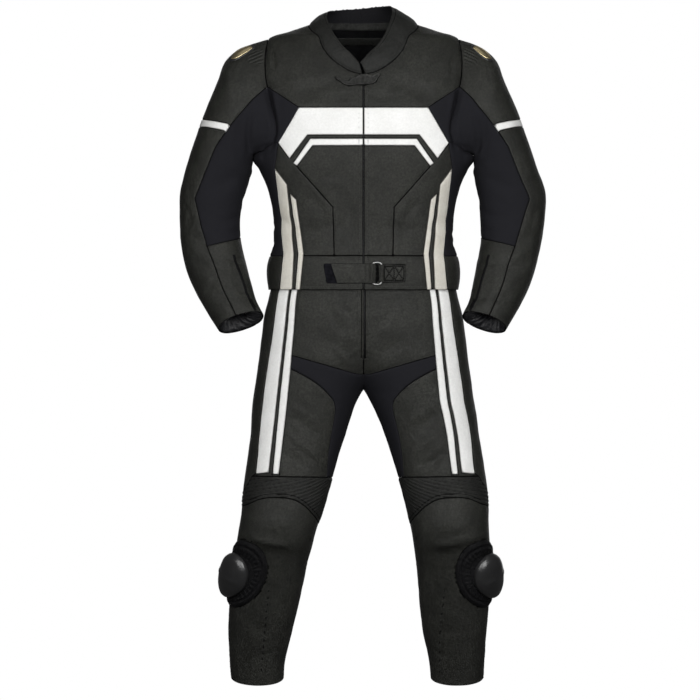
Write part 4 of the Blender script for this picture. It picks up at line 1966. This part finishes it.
WAY = fly_way()
placket = [(WAY * across, up) for across, up in
           [(-0.0039, -0.0022), (-0.0039, -0.0006), (-0.0032, 0.0004), (-0.002, 0.0009), (-0.0008, 0.0009),
            (0.0002, 0.0003), (0.0007, -0.0008), (0.0007, -0.0022)]]
verts, faces = swept(HALF, RIGHT, fly_run, placket)
fly = make_piece("fly_placket", verts, facing_out(verts, faces), [BLACK_LEATHER],
                 near=np.full(len(verts), 0.004))
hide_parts("fly_zip")
tape, teeth = zip_parts(HALF, RIGHT, HALF.beside(fly_run, WAY * 0.0024, RIGHT), 0.003)
fly_tape = make_piece("fly_zip_tape", *tape, [TAPE], smooth_faces=False)
fly_teeth = make_piece("fly_zip_teeth", *teeth, [DARK_METAL], smooth_faces=False)
for step in range(6):
    row = np.array([fly_run[0] + [0, -0.0014 + 0.0006 * step]]).repeat(5, axis=0)
    row[:, 0] += np.linspace(-0.0045, 0.0045, 5)
    sew("trousers_right", "black", HALF, RIGHT, row, 0.0006)
print("fly run of", len(fly_run), "points")

# %% [markdown]
# ## Belt and collar tab
#
# A short leather strap closes the waist. It ends in a patch of hook tape at one side, and at the other it
# folds over a metal ring, which a sewn tab holds to the hem band. Both are cut from the same hide, with
# a rolled edge and a stitched row. The collar tab is the same kind of piece, shaped like a hook.

# %% Strap, hook tape, ring and anchor
STRAP_LIFT, ANCHOR_LIFT = 0.0014, 0.0006      # how far the pieces lie over the cloth
ROW_INSET = 0.0026                            # of the stitched row along their edges
CROSS_X, CROSS_HEIGHT, CROSS_HALF, CROSS_RISE = 0.059, 0.939, 0.0112, 0.0165


def body_patch(name, outline, top, materials, gap=0.0026, lift=0.0003):
    """A patch on the front of the body, from x and height."""
    spots = locate(BODY, outline)
    verts, faces, near = patch(BODY, LEFT, spots, top, gap, lift)
    return make_piece(name, verts, faces, materials, near=near), spots


def half_area(piece):
    """Half of a closed shell's surface, which is what its cloth measures."""
    return sum(face.area for face in piece.data.polygons) / 2


def lay_sheet(piece, width, length):
    """Declares a laid piece of a box's size, with the area that its own mesh has."""
    area = half_area(piece)
    width = max(width, 1.02 * area / length)
    print(f"{piece.name}: cut {width * 1000:.0f} x {length * 1000:.0f} mm, {area * 1e4:.0f} cm2")


def sew_inset(garment, thread, form, side, spots, inset, height):
    """Stitches a little way inside a closed outline, on top of a patch."""
    edge = resampled(form, side, spots, 0.002)
    loop = np.vstack([edge, edge[:1]])
    trace = tree_of(form.places(edge, side))
    for way in (-1, 1):
        row = form.beside(loop, way * inset, side)
        good = inside(edge, row) & clear_of(trace, form.places(row, side), 0.86 * inset)
        if good.sum() > 0.6 * len(row):
            sew(garment, thread, form, side, row[good], 0.0, height)


hook, _ = body_patch("belt_hook_tape", TRIMS["hook"], strap_top(0.0012, 0), [HOOK_TAPE])
lay_sheet(hook, 0.03, 0.0462)


def strap_height(away, spots):
    """The strap thickens where it is folded round the ring."""
    x = BODY.places(spots, LEFT)[:, 0]
    fold = 0.005 * bell(x, 0.0205, 0.007) + 0.0016 * (x > 0.004) * (x < 0.0205)
    seam = 0.0008 * bell(x, 0.0035, 0.001)
    return strap_top(0.0036)(away, spots) + fold - seam


strap, strap_spots = body_patch("belt_strap_leather", TRIMS["strap"], strap_height, [BLACK_LEATHER],
                                0.0022, STRAP_LIFT)
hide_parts("belt_strap")
lay_sheet(strap, 0.045, 0.132)
sew_inset("jacket_body", "black", BODY, LEFT, strap_spots, ROW_INSET, STRAP_LIFT + 0.0032)
cross_run = locate(BODY, [(0.0035, z) for z in np.linspace(STRAP_FOOT + 0.003, STRAP_TOP - 0.003, 12)])
sew("jacket_body", "black", BODY, LEFT, cross_run, 0.0, STRAP_LIFT + 0.0032)


def cross_gap(x, z):
    """How far from the anchor's two crosses and their boxes, in metres."""
    gaps = np.full(len(x), 1.0)
    for middle in (0.059, 0.0815):      # two crosses side by side, each in its own box
        across, up = (x - middle) / CROSS_HALF, (z - CROSS_HEIGHT) / CROSS_RISE
        boxed = np.maximum(np.abs(across), np.abs(up))
        crossed = np.where(boxed < 1.02, np.minimum(np.abs(across - up), np.abs(across + up)) * 0.009, 1.0)
        gaps = np.minimum(gaps, np.minimum(np.abs(boxed - 1) * 0.012, crossed))
    return gaps


def anchor_height(away, spots):
    x, z = BODY.places(spots, LEFT)[:, 0], BODY.places(spots, LEFT)[:, 2]
    quilt = -0.0016 * np.exp(-(cross_gap(x, z) / 0.0013) ** 2)
    fold = 0.0048 * bell(x, 0.0415, 0.0055)
    return strap_top(0.0034)(away, spots) + quilt + fold


anchor, anchor_spots = body_patch("belt_anchor_tab", TRIMS["anchor"], anchor_height, [BLACK_LEATHER],
                                  0.0018, ANCHOR_LIFT)
anchor_near = np.array([corner.value for corner in anchor.data.attributes["near"].data])
anchor_at = np.array([corner.co for corner in anchor.data.vertices])
crosses = cross_gap(anchor_at[:, 0], anchor_at[:, 2] + SHOULDER_HEIGHT)
put_values(anchor.data, "near", "FLOAT", np.minimum(anchor_near, crosses * 0.8))
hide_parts("belt_anchor")
lay_sheet(anchor, 0.041, 0.082)
sew_inset("jacket_body", "black", BODY, LEFT, anchor_spots, ROW_INSET, ANCHOR_LIFT + 0.0031)
for shift in (0.0, 0.0225):
    for rise, way, end in ((-CROSS_RISE, 1, CROSS_RISE), (CROSS_RISE, 1, -CROSS_RISE),
                           (-CROSS_RISE, -1, CROSS_RISE)):
        first = np.array([CROSS_X + (shift - CROSS_HALF), CROSS_HEIGHT + rise])
        last = np.array([CROSS_X + (shift + way * CROSS_HALF), CROSS_HEIGHT + end])
        cross_run = locate(BODY, [first + (last - first) * t for t in np.linspace(0, 1, 14)])
        sew("jacket_body", "black", BODY, LEFT, cross_run, 0.0, ANCHOR_LIFT + 0.0022)
print("strap and anchor laid")

# %% Ring
RING = {"x": 0.0305, "height": 0.9392, "half_width": 0.014, "half_height": 0.0252, "wire": 0.0016}
ring_spots = locate(BODY, [(RING["x"], RING["height"])])
centre = BODY.places(ring_spots, LEFT)[0]
across_way, up_way = (rate[0] / np.linalg.norm(rate[0]) for rate in BODY.rates(ring_spots, LEFT))
out_way = np.cross(across_way, up_way)
angles = np.linspace(0, 1, 57)[:-1]
ring_across, ring_up = ring(angles, RING["half_width"], RING["half_height"], RING["half_height"], 3.0)
path = (centre + across_way * ring_across[:, None] + up_way * ring_up[:, None]
        + out_way * (0.004 - 0.9 * ring_across ** 2 - 1.2 * ring_up ** 2)[:, None])
ahead = unit(np.roll(path, -1, axis=0) - np.roll(path, 1, axis=0))
beside_way = np.cross(ahead, out_way)
circle = np.linspace(0, 2 * np.pi, 11)[:-1]
tube = (path[:, None] + RING["wire"] * (np.cos(circle)[None, :, None] * beside_way[:, None]
                                        + np.sin(circle)[None, :, None] * out_way))
verts = tube.reshape(-1, 3)
ring_piece = make_piece("belt_ring_metal", verts, facing_out(verts, grid_faces(*tube.shape[:2])),
                        [BRIGHT_METAL])
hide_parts("belt_ring")
print("ring of", len(verts), "points")

# %% Collar tab
def tab_height(away, spots):
    x = BODY.places(spots, LEFT)[:, 0]
    ridge = 0.0022 * bell(away, 0.0016, 0.001)
    hump = 0.0018 * bell(x, 0, 0.016)
    crumple = 0.0009 * np.sin(x * 420) * bell(x, 0, 0.022)
    return strap_top(0.0034, 0)(away, spots) + ridge + hump + crumple


tab, _ = body_patch("collar_tab_leather", TRIMS["tab"], tab_height, [TAB_LEATHER], 0.0016, 0.0006)
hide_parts("collar_tab")
lay_sheet(tab, 0.034, 0.112)

# %% [markdown]
# ## Knee slider and shoulder plate
#
# A knee slider is a moulded plastic puck, shaped like half an egg, which the rider drags on the road. It
# sits on a padded base that is sewn in pleats round it. The shoulder has a slim metal plate in a dark
# frame, riveted to the leather. All of them follow the curve of the cloth under them.

# %% Slider base and puck
PUCK_AT = {"turn": 0.192, "height": 0.247, "half_turn": 0.104, "half_height": 0.052}


def away_in(shape, spots, egg=0.0):
    """How far out in an oval a spot lies, 0 at its middle and 1 at its edge, and its angle."""
    turns, heights = spots[:, 0] / LEG_GIRTH, smooth(LEG, "height", spots[:, 1])
    up = (heights - shape["height"]) / shape["half_height"]
    across = (turns - shape["turn"]) / shape["half_turn"] / (1 - egg * up)
    return np.hypot(across, up), np.arctan2(up, across)


def base_height(away, spots):
    """The padded ring: pleats round the puck, a sewn channel, a piping line and a soft outer band."""
    share, angle = away_in(SLIDER, spots)
    pad = 0.0072 * np.clip(1 - share ** 3.5, 0, 1) ** 0.5
    pleats = 0.0007 * np.cos(angle * 34) * bell(share, 0.7, 0.1)
    channels = -0.0016 * bell(share, 0.83, 0.022) - 0.0012 * bell(share, 0.58, 0.022)
    piping = 0.0018 * bell(share, 0.9, 0.02) + 0.0014 * bell(share, 0.76, 0.016)
    return 0.001 * ramp(away, 0, 0.001) + pad + pleats + channels + piping + 0.0006


def puck_height(away, spots):
    """The puck: a flange, then an egg-shaped dome with a soft ridge down its outer side."""
    share, angle = away_in(PUCK_AT, spots, 0.1)
    dome = 0.0205 * np.clip(1 - share ** 2.5, 0, 1) ** 0.55
    facet = 0.0016 * np.exp(-((np.sin(angle - 0.35)) / 0.22) ** 2) * np.clip(1 - (share - 0.5) ** 2 * 5, 0, 1)
    flange = 0.0042 * ramp(away, 0, 0.0012) ** 0.5
    step = 0.0012 * (1 / (1 + np.exp((share - 0.9) / 0.012)))
    return flange + dome + facet + step + 0.0012


for side in (RIGHT, LEFT):
    word = SIDE_WORD[side]
    verts, faces, near = patch(HALF, side, oval(SLIDER, 1.0), base_height, 0.0022, 0.0002)
    base = make_piece("slider_base" + word + "_pad", verts, faces, [BASE_LEATHER], near=near)
    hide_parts("slider_base" + word)
    verts, faces, _ = patch(HALF, side, oval(PUCK_AT, 1.0, egg=0.1), puck_height, 0.0022, 0.0062)
    puck = make_piece("slider_puck" + word + "_shell", verts, faces, [PUCK])
    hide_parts("slider_puck" + word)
    for size, height in ((0.83, 0.0049), (0.58, 0.007)):
        loop = oval(SLIDER, size, 90)
        sew("trousers" + word, "black", HALF, side, np.vstack([loop, loop[:1]]), 0.0, height)
    print("slider", word, len(verts), "points on the puck")

# %% Shoulder plate with its dark frame and rivets
PLATE = [(0.184, 0.033), (0.17, 0.055), (0.168, 0.084), (0.186, 0.098), (0.206, 0.086), (0.214, 0.06),
         (0.206, 0.038)]
for side in (RIGHT, LEFT):
    word = SIDE_WORD[side]
    outline = run_of(ARM, "wrap", PLATE + PLATE[:1], 0.004)[:-1]
    plate_middle = outline.mean(axis=0)
    frame_out = plate_middle + (outline - plate_middle) * 1.1
    verts, faces, _ = patch(ARM, side, frame_out, strap_top(0.0018, 0), 0.0022, 0.0003)
    rim_piece = make_piece("shoulder_plate_frame" + word, verts, faces, [PUCK])

    def plate_height(away, spots):
        ridge = 0.0009 * bell(away, 0.0028, 0.0012)
        return 0.0012 + 0.0016 * ramp(away, 0, 0.001) ** 0.5 + 0.001 * ramp(away, 0, 0.01) - ridge

    plate_edge = plate_middle + (outline - plate_middle) * 0.9
    verts, faces, _ = patch(ARM, side, plate_edge, plate_height, 0.002, 0.0012)
    plate = make_piece("shoulder_plate" + word + "_metal", verts, faces, [BRASS])
    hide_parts("shoulder_plate" + word)
    print("plate", word, len(verts), "points")

# %% [markdown]
# ## Cuffs, hems and what shows inside them
#
# The edges are turned in and stitched. Inside a cuff hangs a loose, shiny lining in ruffles, with a short
# zip up the inner forearm. The lining is a tube a little inside the sleeve, with waves pushed into it.

# %% Linings
def lining_tube(name, form, side, rows, ruffle, ruffles, material):
    """A tube of lining inside a form. rows are pairs of station and depth under the cloth."""
    around = np.linspace(0, 1, 150)
    grid = []
    for number, (station, depth) in enumerate(rows):
        spots = np.stack([around * form.girth, np.full_like(around, station)], axis=-1)
        wave = ruffle * (np.sin(2 * np.pi * ruffles * around + number * 0.5)
                         + 0.6 * np.sin(2 * np.pi * (ruffles * 0.6 + 1) * around + 1.0 + number * 0.9))
        places, out = on_cloth(form, side, spots, 0.0)
        grid.append(places - out * (depth + np.abs(wave) * min(1, 0.4 + 0.3 * number))[:, None])
    grid = np.stack(grid)
    grid[:, -1] = grid[:, 0]
    inner = grid + unit(grid.mean(axis=1, keepdims=True) - grid) * 0.0008
    loop_rows = np.concatenate([grid, inner[::-1]])[:, :-1]
    count = loop_rows.shape[1]
    faces, verts = grid_faces(len(loop_rows), count), loop_rows.reshape(-1, 3)
    made = make_piece(name, verts, facing_out(verts, faces), [material])
    length, height = run_length(grid[0]), run_length(grid[:, 0])
    surface = 0.0
    for a, b, _, d in faces[:(len(rows) - 1) * count]:
        surface += np.linalg.norm(np.cross(verts[b] - verts[a], verts[d] - verts[a]))
    size = (max(height, 1.02 * surface / (1.15 * length)), 1.15 * length)
    float(min(surface, 0.99 * size[0] * size[1]))
    return size


LINING_ROWS = [(0.0015, 0.0026), (0.003, 0.0055), (0.006, 0.01), (0.011, 0.0145), (0.017, 0.0185),
               (0.026, 0.0215), (0.04, 0.0195), (0.06, 0.006)]     # up from the cuff's edge, and depth
for side in (RIGHT, LEFT):
    word = SIDE_WORD[side]
    end = ARM.length
    size = lining_tube("cuff_lining" + word, ARM, side,
                       [(end - up, depth) for up, depth in LINING_ROWS], 0.0062, 8, GLOSSY_LINING)
    print("cuff lining", word, [round(v, 3) for v in size])

# %% Cuff zips
for side in (RIGHT, LEFT):
    word = SIDE_WORD[side]
    zip_run = run_of(ARM, "wrap", [(-0.105, 0.6), (-0.108, 0.66), (-0.112, 0.72), (-0.116, 0.7655)], 0.004)
    profile = [(-0.0034, 0.0001), (-0.003, 0.0007), (-0.0012, 0.0006), (-0.0006, 0.0012), (0.0006, 0.0012),
               (0.0012, 0.0006), (0.003, 0.0007), (0.0034, 0.0001), (0.0034, -0.0006), (-0.0034, -0.0006)]
    verts, faces = swept(ARM, side, zip_run, profile)
    strip = make_piece("cuff_zip_tape" + word, verts, facing_out(verts, faces), [TAPE])
    at, ahead = walk(ARM, side, zip_run, 0.0022)
    places, out = on_cloth(ARM, side, at, 0.0013)
    teeth_piece = make_piece("cuff_zip_teeth" + word, *strewn(places, ahead, out, TOOTH_VERTS, TOOTH_FACES),
                             [DARK_METAL], smooth_faces=False)
    at, ahead = walk(ARM, side, zip_run[-9:], 0.006)
    places, out = on_cloth(ARM, side, at[:1], 0.0026)
    ahead = ahead[:1] / np.linalg.norm(ahead[:1])
    body = [(x * 0.0045, y * 0.0032 * (1 if x < 0 else 0.72), z * 0.0017) for x, y, z in BOX_CORNERS]
    slider = strewn(places, ahead, out, body, TOOTH_FACES)
    pull = [(0.002 + (x + 1) * 0.0085, y * 0.002 * (1.35 if x > 0 else 0.8), 0.0022 + z * 0.0006)
            for x, y, z in BOX_CORNERS]
    puller = strewn(places, ahead, out, pull, TOOTH_FACES)
    pull_piece = make_piece("cuff_zip_slider" + word, *joined([slider, puller]), [DARK_METAL],
                            smooth_faces=False)
    bevel = pull_piece.modifiers.new("rounded", "BEVEL")
    bevel.width, bevel.segments = 0.0005, 2
print("cuff zips laid")

# %% [markdown]
# ## Thread
#
# All rows of stitches are gathered here, one piece for each garment and each colour of thread.

# %% Make the thread pieces
for (garment, thread), parts in STITCHES.items():
    verts, faces = joined(parts)
    made = make_piece(f"{garment}_{thread}_thread", verts, faces,
                      [WHITE_THREAD if thread == "white" else BLACK_THREAD])
    "white_leather" if thread == "white" else "black_leather"
    print(made.name, len(faces), "faces")

# %% [markdown]
# ## Studio
#
# The suit hangs over a pale floor, with plain white behind it. Two large soft boxes stand in front at
# shoulder height, the stronger one on the wearer's left. A weak one above and one behind lift the ridges
# and the back. The camera stands level, far off, with a long lens.

# %% Floor, light and camera
bpy.context.scene.view_settings.view_transform = "Standard"
FLOOR_HALF, FLOOR_DROP, WHITE = 8, 0.42, (1, 1, 1, 1)
floor_mesh = bpy.data.meshes.new("floor")
floor_mesh.from_pydata([(x * FLOOR_HALF, y * FLOOR_HALF, 0) for x, y in ((-1, -1), (1, -1), (1, 1), (-1, 1))],
                       [], [(0, 1, 2, 3)])
floor = bpy.data.objects.new("floor", floor_mesh)
floor.location = (0, 0, -SHOULDER_HEIGHT - FLOOR_DROP)
bpy.context.scene.collection.objects.link(floor)
floor_finish = Finish("pale_floor")
floor_tone = floor_finish.mix(floor_finish.noise(0.4), (0.88, 0.88, 0.88, 1), (0.92, 0.92, 0.92, 1))
floor_finish.feed(Base_Color=floor_tone, Roughness=0.85, Emission_Color=WHITE, Emission_Strength=0.75)
floor.data.materials.append(floor_finish.material)
floor.visible_diffuse = False
floor.visible_glossy = False

world = bpy.data.worlds.new("studio")
bpy.context.scene.world = world
world.use_nodes = True
nodes, links = world.node_tree.nodes, world.node_tree.links
background = nodes["Background"]
path = nodes.new("ShaderNodeLightPath")
shade = nodes.new("ShaderNodeMix")
shade.inputs[2].default_value, shade.inputs[3].default_value = 0.07, 1.0
links.new(path.outputs["Is Camera Ray"], shade.inputs[0])
links.new(shade.outputs[0], background.inputs["Strength"])
background.inputs["Color"].default_value = WHITE


def soft_box(name, where, aim, width, height, power):
    light = bpy.data.lights.new(name, "AREA")
    light.shape, light.size, light.size_y, light.energy = "RECTANGLE", width, height, power
    made = bpy.data.objects.new(name, light)
    made.location = where
    made.rotation_euler = (Vector(aim) - Vector(where)).to_track_quat("-Z", "Y").to_euler()
    bpy.context.scene.collection.objects.link(made)


soft_box("key_box", (0.9, -2.7, 0.05), (0, 0, -0.5), 1.8, 1.8, 66)
soft_box("fill_box", (-1.0, -2.7, 0.05), (0, 0, -0.5), 1.8, 1.8, 48)
soft_box("top_box", (0, -0.6, 2.4), (0, 0, -0.3), 2.4, 1.6, 5)
soft_box("back_box", (0.3, 3.2, 0.4), (0, 0, -0.5), 3.6, 3.6, 20)

camera = bpy.data.objects.new("camera", bpy.data.cameras.new("camera"))
camera.data.sensor_width, camera.data.lens, camera.data.clip_end = 36.0, 670.7, 200
camera.location = (-0.031, -30, -0.7034)
camera.rotation_euler = (np.pi / 2, 0, 0)
bpy.context.scene.collection.objects.link(camera)
bpy.context.scene.camera = camera
